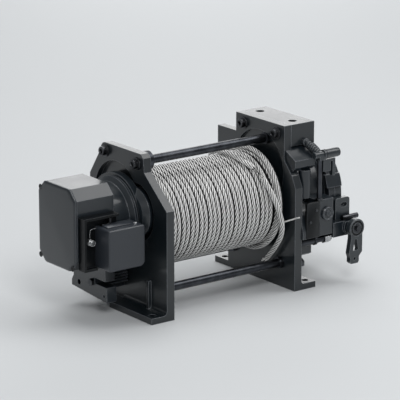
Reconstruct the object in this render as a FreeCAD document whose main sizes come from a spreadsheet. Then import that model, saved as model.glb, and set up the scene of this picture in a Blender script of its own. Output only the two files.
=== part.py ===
import FreeCAD, Part
import math
import os
import re

import Sketcher

# Electric winch: two cast end plates carry a rope drum between them.
# A motor hangs on the left plate, a gearbox and its clutch linkage on the right.
# Millimetres. Origin on the floor, midway between the two front foot bolts.
# +X runs along the drum towards the gearbox, +Y to the back, +Z up.

doc = FreeCAD.newDocument("ElectricWinch")
sheet = doc.addObject("Spreadsheet::Sheet", "Sizes")

# Driving sizes. Names that end in _back are measured back from the plates' front edge,
# names that end in _high or _low up from the floor.

SIZES = {
    "floor_at": "0",
    # end plates
    "plate_gap": "236",
    "plate_wall": "14",
    "plate_depth": "207",
    "wall_back": "172",
    "wall_back_high": "60",
    "shoulder_high": "173",
    "slant_back": "58",
    "slant_high": "222",
    "crown_front_back": "60",
    "crown_high": "250",
    "crown_step": "6",
    "crown_lead": "6",
    "heel_back": "203",
    "heel_high": "193",
    "heel_step": "9",
    "cast_cove": "6",
    # feet
    "foot_high": "10",
    "foot_reach": "29",
    "foot_long": "112",
    "heel_reach": "9",
    "bolt_radius": "5.5",
    "bolt_back": "13.5",
    "bolt_out": "18",
    "heel_bolt_back": "193",
    "heel_bolt_in": "10",
    "rib_back": "44",
    "rib_wide": "6",
    "rib_deep": "5",
    "rib_high": "55",
    "right_rib_high": "40",
    # window in the left plate
    "window_deep": "9",
    "window_radius": "59",
    "window_back": "131",
    "window_high": "167",
    "bay_radius": "47",
    "bay_back": "80.5",
    "bay_high": "156",
    # right plate crown and block
    "right_shoulder_high": "168",
    "right_knee_back": "9",
    "right_knee_high": "187",
    "right_neck_high": "209",
    "ledge_high": "233",
    "ledge_back": "200",
    "tab_front_back": "29",
    "tab_rear_back": "152",
    "tab_high": "264",
    "block_wide": "46.5",
    "block_low": "229",
    "block_hole_radius": "7",
    "block_hole_apart": "82",
    "block_hole_deep": "24",
    "arch_radius": "62",
    "arch_deep": "5",
    "arch_back": "93",
    "arch_high": "184.6",
    # drum and rope
    "drum_high": "136",
    "core_radius": "46",
    "journal_radius": "15",
    "journal_long": "6",
    "running_fit": "0.05",
    "flange_radius": "80",
    "flange_wall": "4",
    "flange_clear": "5.5",
    "rope_radius": "4",
    "wound_radius": "77",
    "raised_radius": "87",
    "raised_wide": "12",
    "wound_turns": "24",
    "groove_deep": "4",
    "groove_half": "2.2",
    # tie bars
    "bar_radius": "7",
    "upper_bar_back": "79",
    "upper_bar_high": "235",
    "lower_front_bar_back": "36",
    "lower_rear_bar_back": "156",
    "lower_bar_high": "40",
    "shoulder_radius": "15",
    "shoulder_long": "10",
    "ring_radius": "9.5",
    "ring_long": "6",
    # motor
    "motor_back": "120",
    "motor_high": "145",
    "motor_half_deep": "49",
    "motor_half_high": "64",
    "motor_bevel": "16",
    "motor_left": "247",
    "motor_right": "180",
    "cover_wall": "5",
    "cover_step": "0.5",
    "barrel_radius": "54",
    "neck_radius": "61",
    "rim_radius": "66",
    "rim_wide": "11",
    "neck_wide": "4",
    "neck_slope": "6",
    "bulge_radius": "39",
    "bulge_long": "22",
    # terminal box
    "tray_left": "245",
    "tray_right": "181",
    "tray_low": "85",
    "tray_above_lid": "15",
    "tray_wall": "4",
    "tray_floor": "9",
    "tray_lip": "7",
    "lid_left": "221",
    "lid_right": "155",
    "lid_low": "88",
    "lid_high": "153",
    "lid_deep": "38",
    "lid_round": "9",
    "lid_edge": "3",
    "stud_radius": "3",
    "stud_long": "12",
    "stud_nut_radius": "5.5",
    "stud_nut_long": "4",
    "stud_in": "13",
    "stud_up": "45",
    "clip_left": "214",
    "clip_right": "197",
    "clip_deep": "9",
    "clip_up": "13",
    "clip_wall": "3",
    # bracket under the motor
    "bracket_long": "60",
    "bracket_wall": "18",
    "bracket_front_back": "74",
    "bracket_rear_back": "169",
    "bracket_front_low": "22",
    "bracket_rear_low": "29",
    "bracket_top_high": "46",
    "bracket_nose": "8",
    "beam_front_back": "112",
    "beam_rear_back": "156",
    "beam_low": "30",
    "riser_front_back": "78",
    "riser_rear_back": "164",
    "riser_notch_wide": "28",
    "riser_notch_high": "9",
    "bracket_hole_radius": "4.5",
    "bracket_hole_back": "149",
    "bracket_hole_up": "38",
    "bracket_hole_deep": "8",
    "pin_hole_radius": "2.5",
    "pin_hole_back": "82",
    "pin_hole_high": "31",
    "bracket_bolt_radius": "6",
    "bracket_bolt_long": "5",
    "bracket_bolt_back": "113",
    "bracket_bolt_high": "47",
    # screws
    "washer_radius": "10",
    "washer_wall": "2",
    "head_radius": "7.5",
    "head_long": "7",
    "front_screw_back": "77.5",
    "front_screw_high": "233",
    "ear_screw_back": "160",
    "ear_radius": "13",
    "block_screw_apart": "84",
    "block_screw_drop": "14.5",
    "edge_screw_back": "8",
    "edge_screw_high": "43",
    # gearbox on the right plate
    "case_radius": "81",
    "case_front_in": "22.5",
    "case_flange_wide": "14",
    "case_waist_radius": "70",
    "case_waist_wide": "60",
    "case_ring_wide": "12",
    "cap_wide": "16",
    "cap_flat_up": "62",
    "cap_edge": "3",
    "cap_dish_radius": "60",
    "cap_dish_deep": "3",
    "lobe_radius": "45",
    "lobe_back": "42",
    "lobe_high": "89.5",
    "lobe_wide": "33",
    "lobe_face_back": "16.5",
    "saddle_wall": "5",
    "saddle_left": "7",
    "saddle_right": "2",
    "saddle_low_up": "16",
    "saddle_top_up": "36",
    # clutch box
    "clutch_wide": "32",
    "clutch_deep": "45",
    "clutch_low": "83",
    "clutch_high": "142",
    "clutch_edge": "3",
    "dial_radius": "11",
    "dial_wall": "2.5",
    "dial_in": "14",
    "dial_high": "118",
    # ear, boss and clutch linkage
    "ear_share": "0.708",
    "ear_wide": "29",
    "ear_lap": "11",
    "ear_front_in": "4.5",
    "ear_rear_gap": "8",
    "ear_chin_up": "7",
    "ear_front_drop": "17.5",
    "ear_block_gap": "0.5",
    "boss_radius": "10",
    "boss_out": "14",
    "boss_back": "12.5",
    "boss_drop": "45",
    "front_rod_radius": "4",
    "front_rod_out": "36",
    "front_rod_back": "2",
    "sleeve_radius": "5.5",
    "sleeve_left_out": "23",
    "sleeve_right_out": "41",
    "sleeve_high": "216",
    "sleeve_drop": "8",
    "sleeve_block_wide": "10",
    "link_radius": "4.2",
    "link_out": "27",
    "link_high": "233",
    "bush_radius": "6",
    "bush_long": "4.5",
    "link_end_in": "7",
    "fork_wall": "8",
    "fork_plate_long": "4",
    "fork_right": "24",
    "fork_head_gap": "1",
    "fork_block_right": "15",
    "fork_slot_right": "19",
    "fork_block_low": "188",
    "fork_slot_high": "203",
    "fork_prong_low": "179",
    "grip_radius": "7.5",
    "grip_long": "27",
    "grip_edge": "3",
    # crank housing, lug, stop pin and crank
    "housing_long": "33",
    "housing_low": "75",
    "housing_high": "99",
    "housing_back": "25.5",
    "hub_radius": "14",
    "hub_proud": "4.5",
    "crank_high": "89.5",
    "crank_gap": "5.5",
    "crank_wall": "9",
    "crank_disc_radius": "15",
    "crank_shaft_radius": "6",
    "crank_shaft_seat": "6",
    "crank_waist_half": "11.5",
    "crank_waist_drop": "16",
    "crank_belly_half": "13.5",
    "crank_belly_drop": "40",
    "crank_step_half": "9",
    "crank_step_drop": "47",
    "crank_tip_half": "6.5",
    "crank_tip_drop": "58",
    "crank_tip_cut": "3",
    "crank_lean": "4",
    "crank_slot_top_half": "2",
    "crank_slot_low_half": "5.5",
    "crank_slot_top_drop": "18",
    "crank_slot_low_drop": "36",
    "crank_hole_radius": "2.5",
    "crank_hole_drop": "50",
    "crank_washer_radius": "8",
    "crank_washer_wall": "1.5",
    "crank_head_radius": "5",
    "crank_head_long": "3",
    "lug_in": "12",
    "lug_wide": "29",
    "lug_back": "10",
    "lug_wall": "8",
    "lug_high": "135",
    "lug_round": "5",
    "lug_slot_radius": "3.5",
    "lug_slot_half": "3",
    "lug_slot_in": "17",
    "lug_slot_drop": "12",
    "lug_slot_deep": "6",
    "pin_radius": "4.2",
    "pin_in": "21",
    "pin_long": "31",
    "pin_back": "4",
    "pin_seat_long": "8",
    "pin_seat_wide": "5",
    # fitting under the clutch box
    "fitting_radius": "6",
    "fitting_back": "7.5",
    "fitting_drop": "8",
    "fitting_long": "29",
    "fitting_ring_radius": "7.5",
    "fitting_ring_long": "4",
    "fitting_neck_long": "16",
    "nut_radius": "7.8",
    "nut_long": "11",
    "spigot_radius": "5",
    "spigot_long": "4",
    # places worked out from the sizes
    "plate_front": "=-bolt_back",
    "plate_rear": "=plate_front + plate_depth",
    "inner_face": "=plate_gap / 2",
    "outer_face": "=inner_face + plate_wall",
    "bolt_x": "=outer_face + bolt_out",
    "heel_bolt_x": "=inner_face + heel_bolt_in",
    "ear_screw_high": "=crown_high - ear_radius",
    "tab_front": "=plate_front + tab_front_back",
    "tab_rear": "=plate_front + tab_rear_back",
    "tab_middle": "=(tab_front + tab_rear) / 2",
    "block_out": "=outer_face + block_wide",
    "block_hole_x": "=outer_face + block_wide * 0.4",
    "block_screw_high": "=tab_high - block_screw_drop",
    "drum_at": "=plate_front + case_front_in + case_radius",
    "flange_out": "=inner_face - flange_clear",
    "wound_end": "=flange_out - flange_wall",
    "turn_pitch": "=(2 * wound_end - raised_wide) / wound_turns",
    "motor_at": "=plate_front + motor_back",
    "bay_at": "=plate_front + bay_back",
    "tray_high": "=lid_high + tray_above_lid",
    "tray_back": "=motor_at - motor_half_deep",
    "tray_face": "=tray_back - tray_floor",
    "lid_front": "=tray_face - lid_deep",
    "bracket_left": "=outer_face + bracket_long",
    "case_waist_end": "=outer_face + case_flange_wide + case_waist_wide",
    "ear_rear": "=drum_at - case_radius * ear_share - ear_rear_gap",
    "ear_front": "=plate_front + ear_front_in",
    "ear_low": "=drum_high + case_radius * ear_share",
    "ear_chin_high": "=ear_low + ear_chin_up",
    "case_out": "=case_waist_end + case_ring_wide",
    "cap_out": "=case_out + cap_wide",
    "lobe_out": "=outer_face + lobe_wide",
    "clutch_out": "=lobe_out + clutch_wide",
    "clutch_front": "=plate_front",
    "clutch_rear": "=clutch_front + clutch_deep",
    "sleeve_left": "=outer_face + sleeve_left_out",
    "sleeve_right": "=outer_face + sleeve_right_out",
    "fork_plate_right": "=sleeve_right + fork_plate_long",
    "fork_top": "=sleeve_high - grip_radius - fork_head_gap",
    "fork_front": "=plate_front - fork_wall / 4",
    "link_x": "=outer_face + link_out",
    "housing_out": "=clutch_out + housing_long",
    "housing_rear": "=plate_front + housing_back",
    "hub_front": "=plate_front - hub_proud",
    "crank_back": "=hub_front - crank_gap",
    "crank_front": "=crank_back - crank_wall",
    "crank_tip_x": "=housing_out - crank_lean",
    "crank_belly_x": "=housing_out - crank_lean / 2",
    "lug_left": "=clutch_out + lug_in",
    "lug_front": "=plate_front + lug_back",
    "fitting_at": "=plate_front + fitting_back",
    "fitting_high": "=clutch_low - fitting_drop",
    "fitting_out": "=outer_face + fitting_long",
    "nut_from": "=fitting_out + fitting_ring_long + fitting_neck_long",
}

for row, (name, content) in enumerate(SIZES.items(), start=1):
    sheet.set("A%d" % row, name)
    sheet.set("B%d" % row, content)
    sheet.setAlias("B%d" % row, name)
doc.recompute()


def size(name):
    """Value of one named size, for the rope's route and for finding edges."""
    return float(sheet.get(name))


def bound(formula):
    """The formula with each size name pointed at its cell in the sheet."""
    return re.sub(r"[a-z]+_[a-z_]+", r"Sizes.\g<0>", formula)


def behind(back):
    """Formula for a place measured back from the plates' front edge."""
    return "plate_front + " + back


def place(piece, x, y, z):
    """Binds the origin of a piece to three formulas."""
    for axis, formula in zip("xyz", (x, y, z)):
        piece.setExpression(".Placement.Base." + axis, bound(formula))


# Plain solids between two formulas on an axis

TURN = {
    "X": FreeCAD.Rotation(FreeCAD.Vector(0, 1, 0), 90),
    "Y": FreeCAD.Rotation(FreeCAD.Vector(1, 0, 0), -90),
    "Z": FreeCAD.Rotation(),
}


def block(label, x_span, y_span, z_span):
    """A box between two formulas on each axis."""
    piece = doc.addObject("Part::Box", label)
    for prop, (low, high) in zip(("Length", "Width", "Height"), (x_span, y_span, z_span)):
        piece.setExpression(prop, bound("(%s) - (%s)" % (high, low)))
    place(piece, x_span[0], y_span[0], z_span[0])
    return piece


def along_axis(kind, label, sizing, radius, along, start, end, across):
    """A prismatic solid along one axis, at a centre given on the other two axes."""
    piece = doc.addObject(kind, label)
    piece.Placement = FreeCAD.Placement(FreeCAD.Vector(), TURN[along])
    piece.setExpression(sizing, bound(radius))
    piece.setExpression("Height", bound("(%s) - (%s)" % (end, start)))
    where = list(across)
    where.insert("XYZ".index(along), start)
    place(piece, *where)
    return piece


def rod(label, radius, along, start, end, across):
    """A round bar."""
    return along_axis("Part::Cylinder", label, "Radius", radius, along, start, end, across)


def hexagon(label, radius, along, start, end, across):
    """A hexagon bar, sized by the circle through its corners."""
    return along_axis("Part::Prism", label, "Circumradius", radius, along, start, end, across)


# Booleans

def joined(label, pieces):
    """One solid from pieces that touch or overlap."""
    piece = doc.addObject("Part::MultiFuse", label)
    piece.Shapes = pieces
    piece.Refine = True
    return piece


def cut(label, base, tools):
    """The base with each tool taken away."""
    piece = base
    for count, tool in enumerate(tools, start=1):
        step = doc.addObject("Part::Cut", label if count == len(tools) else "%s_cut%d" % (label, count))
        step.Base = piece
        step.Tool = tool
        step.Refine = True
        piece = step
    return piece


def shared(label, base, tool):
    """What two solids have in common."""
    piece = doc.addObject("Part::Common", label)
    piece.Base = base
    piece.Tool = tool
    return piece


def together(label, pieces):
    """Separate like pieces that share one node."""
    piece = doc.addObject("Part::Compound", label)
    piece.Links = pieces
    return piece


# Sketched bodies

PLANES = {"X": "YZ_Plane", "Y": "XZ_Plane", "Z": "XY_Plane"}


def outline_sketch(body, label, plane_role, points):
    """A closed outline in one of the body's own planes, each corner held by two formulas."""
    sketch = body.newObject("Sketcher::SketchObject", label)
    plane = next(f for f in body.Origin.OriginFeatures if f.Role == plane_role)
    sketch.AttachmentSupport = [(plane, "")]
    sketch.MapMode = "FlatFace"
    count = len(points)
    ring = [FreeCAD.Vector(math.cos(2 * math.pi * i / count), math.sin(2 * math.pi * i / count), 0)
            for i in range(count)]
    for i in range(count):
        sketch.addGeometry(Part.LineSegment(ring[i], ring[(i + 1) % count]), False)
    for i in range(count):
        sketch.addConstraint(Sketcher.Constraint("Coincident", i, 2, (i + 1) % count, 1))
    for i, (across, up) in enumerate(points):
        for kind, formula, start in (("DistanceX", across, ring[i].x), ("DistanceY", up, ring[i].y)):
            index = sketch.addConstraint(Sketcher.Constraint(kind, -1, 1, i, 1, start))
            sketch.setExpression("Constraints[%d]" % index, bound(formula))
    return sketch


def padded(label, along, points, low, high):
    """A body padded from a closed outline, between two formulas on one axis."""
    body = doc.addObject("PartDesign::Body", label)
    sketch = outline_sketch(body, label + "_outline", PLANES[along], points)
    # the front plane's normal points to -Y, so its pad starts at the high side
    offset = "-(%s)" % high if along == "Y" else low
    sketch.setExpression(".AttachmentOffset.Base.z", bound(offset))
    pad = body.newObject("PartDesign::Pad", label + "_pad")
    pad.Profile = sketch
    pad.setExpression("Length", bound("(%s) - (%s)" % (high, low)))
    return body


def turned(label, profile, y, z):
    """A body turned about a line along X from (x, radius) corners."""
    body = doc.addObject("PartDesign::Body", label)
    sketch = outline_sketch(body, label + "_profile", "XY_Plane", profile)
    turn = body.newObject("PartDesign::Revolution", label + "_turn")
    turn.Profile = sketch
    turn.ReferenceAxis = (sketch, ["H_Axis"])
    turn.Angle = 360
    place(body, "0 * floor_at", y, z)
    return body


def softened(body, radius, wanted, kind="Fillet"):
    """Rounds or bevels those edges of the body's last feature that pass a test."""
    doc.recompute()
    tip = body.Tip
    names = ["Edge%d" % n for n, edge in enumerate(tip.Shape.Edges, start=1) if wanted(edge)]
    step = body.newObject("PartDesign::" + kind, "%s_%s%d" % (body.Label, kind.lower(), len(body.Group)))
    step.Base = (tip, names)
    step.setExpression("Radius" if kind == "Fillet" else "Size", bound(radius))
    return body


def runs_along(edge, axis):
    """True for a straight edge parallel to an axis."""
    if edge.Curve.TypeId != "Part::GeomLine":
        return False
    return abs(abs(edge.tangentAt(edge.FirstParameter).dot(axis)) - 1) < 1e-6


ALONG_Y = FreeCAD.Vector(0, 1, 0)
ALONG_Z = FreeCAD.Vector(0, 0, 1)


# End plates: a wall with a foot outside it, coved where they meet, and a rib on the foot

def plate_casting(label, outline, side, rib_top):
    """Wall, foot, rib and cove of one end plate; side is - for the left plate and empty for the right."""
    def across(low, high):
        """The two formulas in rising order on this side."""
        return (side + high, side + low) if side == "-" else (low, high)

    wall = padded(label + "_wall", "X", outline, *across("inner_face", "outer_face"))
    reach_x = "%s(outer_face + foot_reach)" % side
    heel_x = "%s(outer_face + heel_reach)" % side
    inner_x = side + "inner_face"
    foot = padded(label + "_foot", "Z", [
        (inner_x, "plate_front"),
        (reach_x, "plate_front"),
        (reach_x, "plate_front + foot_long"),
        (heel_x, "plate_front + foot_long + foot_reach - heel_reach"),
        (heel_x, "plate_rear"),
        (inner_x, "plate_rear"),
    ], "floor_at", "foot_high")
    rib = block(label + "_rib", across("outer_face", "(outer_face + rib_deep)"),
                (behind("rib_back - rib_wide / 2"), behind("rib_back + rib_wide / 2")),
                ("floor_at", rib_top))
    cove_fill = block(label + "_cove_fill", across("outer_face", "(outer_face + cast_cove)"),
                      ("plate_front", "plate_front + foot_long"), ("foot_high", "foot_high + cast_cove"))
    cove_round = rod(label + "_cove_round", "cast_cove", "Y", "plate_front - cast_cove",
                     "plate_front + foot_long + cast_cove",
                     ("%s(outer_face + cast_cove)" % side, "foot_high + cast_cove"))
    cove = cut(label + "_cove", cove_fill, [cove_round])
    return joined(label + "_casting", [wall, foot, rib, cove])


def foot_bolt_holes(label, side):
    """The front and the heel bolt hole of one foot."""
    return [
        rod(label + "_front_bolt", "bolt_radius", "Z", "floor_at - foot_high", "2 * foot_high",
            (side + "bolt_x", behind("bolt_back"))),
        rod(label + "_heel_bolt", "bolt_radius", "Z", "floor_at - foot_high", "2 * foot_high",
            (side + "heel_bolt_x", behind("heel_bolt_back"))),
    ]


WALL_REAR = [
    ("plate_front + wall_back", "wall_back_high"),
    ("plate_front + wall_back", "floor_at"),
]

left_casting = plate_casting("left_plate", [
    ("plate_front", "floor_at"),
    ("plate_front", "shoulder_high"),
    (behind("slant_back"), "slant_high"),
    (behind("crown_front_back"), "crown_high - crown_step"),
    (behind("crown_front_back + crown_lead"), "crown_high"),
    (behind("ear_screw_back"), "crown_high"),
    (behind("ear_screw_back + ear_radius"), "ear_screw_high"),
    (behind("heel_back"), "heel_high"),
    (behind("heel_back"), "heel_high - heel_step"),
] + WALL_REAR, "-", "rib_high")
left_ear = rod("left_plate_ear", "ear_radius", "X", "-outer_face", "-inner_face",
               (behind("ear_screw_back"), "ear_screw_high"))
left_window = rod("left_window", "window_radius", "X", "-outer_face - plate_wall",
                  "-outer_face + window_deep", (behind("window_back"), "window_high"))
left_bay = rod("left_bay", "bay_radius", "X", "-outer_face - plate_wall", "-outer_face + window_deep",
               ("bay_at", "bay_high"))
left_bore = rod("left_journal_bore", "journal_radius + running_fit", "X", "-outer_face - plate_wall",
                "-inner_face + plate_wall", ("drum_at", "drum_high"))
left_end_plate = cut("left_end_plate", joined("left_plate_blank", [left_casting, left_ear]),
                     [left_window, left_bay, left_bore] + foot_bolt_holes("left_foot", "-"))

right_casting = plate_casting("right_plate", [
    ("plate_front", "floor_at"),
    ("plate_front", "right_shoulder_high"),
    (behind("right_knee_back"), "right_knee_high"),
    ("tab_front", "right_neck_high"),
    ("tab_front", "tab_high"),
    ("tab_rear", "tab_high"),
    ("tab_rear", "ledge_high"),
    (behind("ledge_back"), "ledge_high"),
    (behind("ledge_back"), "heel_high"),
] + WALL_REAR, "", "right_rib_high")
right_arch = rod("right_arch", "arch_radius", "X", "inner_face - plate_wall", "inner_face + arch_deep",
                 (behind("arch_back"), "arch_high"))
right_bore = rod("right_journal_bore", "journal_radius + running_fit", "X", "inner_face - plate_wall",
                 "inner_face + journal_long + running_fit", ("drum_at", "drum_high"))
right_end_plate = cut("right_end_plate", right_casting,
                      [right_arch, right_bore] + foot_bolt_holes("right_foot", ""))

# Block with two bolt holes, on the outside of the right plate's tab

block_body = padded("block_body", "Z", [
    ("outer_face", "tab_front"),
    ("block_out", "tab_front"),
    ("block_out", "tab_rear"),
    ("outer_face", "tab_rear"),
], "block_low", "tab_high")


def block_hole(label, y):
    """A blind bolt hole from the block's top."""
    return rod(label, "block_hole_radius", "Z", "tab_high - block_hole_deep", "tab_high + block_hole_deep",
               ("block_hole_x", y))


top_mount_block = cut("top_mount_block", block_body, [
    block_hole("block_hole_front", "tab_middle - block_hole_apart / 2"),
    block_hole("block_hole_rear", "tab_middle + block_hole_apart / 2"),
])


# Plate screws: washer and hexagon head standing out towards -X

def screw(label, out, y, z):
    """One screw on a face at the given place."""
    washer = rod(label + "_washer", "washer_radius", "X", out + " - washer_wall", out, (y, z))
    head = hexagon(label + "_head", "head_radius", "X", out + " - washer_wall - head_long",
                   out + " - washer_wall", (y, z))
    return joined(label, [washer, head])


left_plate_screws = together("left_plate_screws", [
    screw("front_screw", "-outer_face", behind("front_screw_back"), "front_screw_high"),
    screw("ear_screw", "-outer_face", behind("ear_screw_back"), "ear_screw_high"),
])
block_screws = together("block_screws", [
    screw("block_screw_front", "inner_face", "tab_middle - block_screw_apart / 2", "block_screw_high"),
    screw("block_screw_rear", "inner_face", "tab_middle + block_screw_apart / 2", "block_screw_high"),
])
right_plate_screw = hexagon("right_plate_screw", "head_radius", "X", "outer_face", "outer_face + head_long",
                            (behind("edge_screw_back"), "edge_screw_high"))


# Motor: bevelled box, end cover, and a turned barrel that flares to a rim on the left plate

def bevelled(label, low, high, grow):
    """The motor's bevelled outline between two formulas on X, grown on every side."""
    deep = "(motor_half_deep + %s)" % grow
    tall = "(motor_half_high + %s)" % grow
    corners = [
        ("motor_at - %s" % deep, "motor_high - %s + motor_bevel" % tall),
        ("motor_at - %s" % deep, "motor_high + %s - motor_bevel" % tall),
        ("motor_at - %s + motor_bevel" % deep, "motor_high + %s" % tall),
        ("motor_at + %s - motor_bevel" % deep, "motor_high + %s" % tall),
        ("motor_at + %s" % deep, "motor_high + %s - motor_bevel" % tall),
        ("motor_at + %s" % deep, "motor_high - %s + motor_bevel" % tall),
        ("motor_at + %s - motor_bevel" % deep, "motor_high - %s" % tall),
        ("motor_at - %s + motor_bevel" % deep, "motor_high - %s" % tall),
    ]
    return padded(label, "X", corners, low, high)


motor_box = bevelled("motor_box", "-motor_left", "-motor_right", "floor_at")
motor_barrel = turned("motor_barrel", [
    ("-motor_right", "floor_at"),
    ("-motor_right", "barrel_radius"),
    ("-outer_face - rim_wide - neck_wide - neck_slope", "barrel_radius"),
    ("-outer_face - rim_wide - neck_wide", "neck_radius"),
    ("-outer_face - rim_wide", "neck_radius"),
    ("-outer_face - rim_wide", "rim_radius"),
    ("-outer_face", "rim_radius"),
    ("-outer_face", "floor_at"),
], "motor_at", "motor_high")
motor_housing = joined("motor_housing", [motor_box, motor_barrel])
motor_end_cover = bevelled("motor_end_cover", "-motor_left - cover_wall", "-motor_left", "cover_step")

# Domed gear housing that shows through the bay of the left plate, beside the motor's rim

bulge_dome = turned("bulge_dome", [
    ("-outer_face + window_deep", "floor_at"),
    ("-outer_face + window_deep", "bulge_radius"),
    ("-outer_face + window_deep - bulge_long * 0.45", "bulge_radius"),
    ("-outer_face + window_deep - bulge_long * 0.85", "bulge_radius * 0.82"),
    ("-outer_face + window_deep - bulge_long", "bulge_radius * 0.55"),
    ("-outer_face + window_deep - bulge_long", "floor_at"),
], "bay_at", "bay_high")
bulge_clear = rod("bulge_clear", "rim_radius", "X", "-outer_face - rim_wide - neck_wide", "-outer_face",
                  ("motor_at", "motor_high"))
gear_bulge = cut("gear_bulge", bulge_dome, [bulge_clear])

# Terminal box in front of the motor: lipped tray, round-edged lid, stud and clip

tray_plate = block("tray_plate", ("-tray_left", "-tray_right"), ("tray_face", "tray_back"),
                   ("tray_low", "tray_high"))
tray_rim = padded("tray_rim", "Y", [
    ("-tray_left", "tray_low"),
    ("-tray_left", "tray_high"),
    ("-tray_right", "tray_high"),
    ("-tray_right", "tray_high - tray_wall"),
    ("-tray_left + tray_wall", "tray_high - tray_wall"),
    ("-tray_left + tray_wall", "tray_low + tray_wall"),
    ("-lid_left", "tray_low + tray_wall"),
    ("-lid_left", "tray_low"),
], "tray_face - tray_lip", "tray_face")
terminal_tray = joined("terminal_tray", [tray_plate, tray_rim])

terminal_lid = padded("terminal_lid", "Y", [
    ("-lid_left", "lid_low"),
    ("-lid_left", "lid_high"),
    ("-lid_right", "lid_high"),
    ("-lid_right", "lid_low"),
], "lid_front", "tray_face")


def lower_right(edge):
    """The lid's lower right edge, which has the large round."""
    where = edge.CenterOfMass
    return runs_along(edge, ALONG_Y) and where.x > -size("lid_right") - 1 and where.z < size("lid_low") + 1


def other_long(edge):
    """The lid's other edges from front to back."""
    where = edge.CenterOfMass
    on_right = where.x > -size("lid_right") - size("lid_round") - 1
    is_low = where.z < size("lid_low") + size("lid_round") + 1
    return runs_along(edge, ALONG_Y) and not (on_right and is_low)


def on_lid_front(edge):
    """The edges round the lid's front face."""
    return abs(edge.CenterOfMass.y - size("lid_front")) < 1e-3


softened(terminal_lid, "lid_round", lower_right)
softened(terminal_lid, "lid_edge", other_long)
softened(terminal_lid, "lid_edge / 2", on_lid_front, "Chamfer")

stud_shank = rod("stud_shank", "stud_radius", "Y", "tray_face - stud_long", "tray_face",
                 ("-tray_left + stud_in", "tray_low + stud_up"))
stud_nut = hexagon("stud_nut", "stud_nut_radius", "Y", "tray_face - stud_nut_long", "tray_face",
                   ("-tray_left + stud_in", "tray_low + stud_up"))
terminal_post = joined("terminal_post", [stud_shank, stud_nut])
cable_clip = padded("cable_clip", "Y", [
    ("-clip_left", "lid_high"),
    ("-clip_left", "lid_high + clip_wall"),
    ("-clip_right - clip_wall", "lid_high + clip_wall"),
    ("-clip_right - clip_wall", "lid_high + clip_up - clip_wall"),
    ("-clip_right", "lid_high + clip_up - clip_wall"),
    ("-clip_right", "lid_high"),
], "tray_face - clip_deep", "tray_face")

# Bracket under the motor: upright plate notched in front, and a beam to the left plate

bracket_plate = padded("bracket_plate", "X", [
    (behind("bracket_front_back"), "bracket_front_low"),
    (behind("bracket_front_back"), "bracket_top_high"),
    (behind("riser_front_back + riser_notch_wide"), "bracket_top_high"),
    (behind("riser_front_back + riser_notch_wide"), "bracket_top_high + riser_notch_high"),
    (behind("riser_front_back"), "bracket_top_high + riser_notch_high"),
    (behind("riser_front_back"), "motor_high - motor_half_high"),
    (behind("riser_rear_back"), "motor_high - motor_half_high"),
    (behind("riser_rear_back"), "bracket_top_high"),
    (behind("bracket_rear_back"), "bracket_top_high - bracket_nose"),
    (behind("bracket_rear_back"), "bracket_rear_low"),
], "-bracket_left", "-bracket_left + bracket_wall")
bracket_beam = block("bracket_beam", ("-bracket_left + bracket_wall / 2", "-outer_face"),
                     (behind("beam_front_back"), behind("beam_rear_back")),
                     ("beam_low", "bracket_top_high"))
bracket_hole = rod("bracket_hole", "bracket_hole_radius", "X", "-bracket_left - bracket_hole_deep",
                   "-bracket_left + bracket_hole_deep", (behind("bracket_hole_back"), "bracket_hole_up"))
pin_hole = rod("pin_hole", "pin_hole_radius", "X", "-bracket_left - bracket_hole_deep",
               "-bracket_left + bracket_hole_deep", (behind("pin_hole_back"), "pin_hole_high"))
motor_bracket = cut("motor_bracket", joined("bracket_blank", [bracket_plate, bracket_beam]),
                    [bracket_hole, pin_hole])
bracket_bolt = hexagon("bracket_bolt", "bracket_bolt_radius", "X", "-bracket_left - bracket_bolt_long",
                       "-bracket_left", (behind("bracket_bolt_back"), "bracket_bolt_high"))

# Drum: one turned piece with two flanges and two journals, then the wound rope, whose turns lie
# in groups with a groove between them, and its raised last turn

drum_barrel = turned("drum_barrel", [
    ("-outer_face + window_deep", "floor_at"),
    ("-outer_face + window_deep", "journal_radius"),
    ("-flange_out", "journal_radius"),
    ("-flange_out", "flange_radius"),
    ("-wound_end", "flange_radius"),
    ("-wound_end", "core_radius"),
    ("wound_end", "core_radius"),
    ("wound_end", "flange_radius"),
    ("flange_out", "flange_radius"),
    ("flange_out", "journal_radius"),
    ("inner_face + journal_long", "journal_radius"),
    ("inner_face + journal_long", "floor_at"),
], "drum_at", "drum_high")

# turns from the left end of the drum up to each groove
GROOVES_AFTER = (3, 5, 7, 9, 12, 15, 18, 21)


def groove(turns):
    """Corners of the groove that follows the given number of turns."""
    middle = "(-wound_end + turn_pitch * %d)" % turns
    return [
        (middle + " - groove_half", "wound_radius"),
        (middle, "wound_radius - groove_deep"),
        (middle + " + groove_half", "wound_radius"),
    ]


rope_winding = turned("rope_winding", [
    ("-wound_end", "core_radius"),
    ("-wound_end", "wound_radius"),
] + [corner for turns in GROOVES_AFTER for corner in groove(turns)] + [
    ("wound_end - raised_wide", "wound_radius"),
    ("wound_end - raised_wide", "raised_radius"),
    ("wound_end", "raised_radius"),
    ("wound_end", "core_radius"),
], "drum_at", "drum_high")

# Loose end of the rope: it leaves the winding near the top, follows it round and hangs free.
# Each point is a place along the drum, then its distances behind and above the drum's axis.

TAIL_ROUTE = [
    (80.5, -67.5, 50),
    (88.0, -82.5, 26),
    (94.3, -92.8, -1),
    (104.3, -90.5, -31),
    (108.6, -75.5, -60),
    (106.3, -47.5, -92),
]
ARC_SHARE = 0.45


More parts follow.
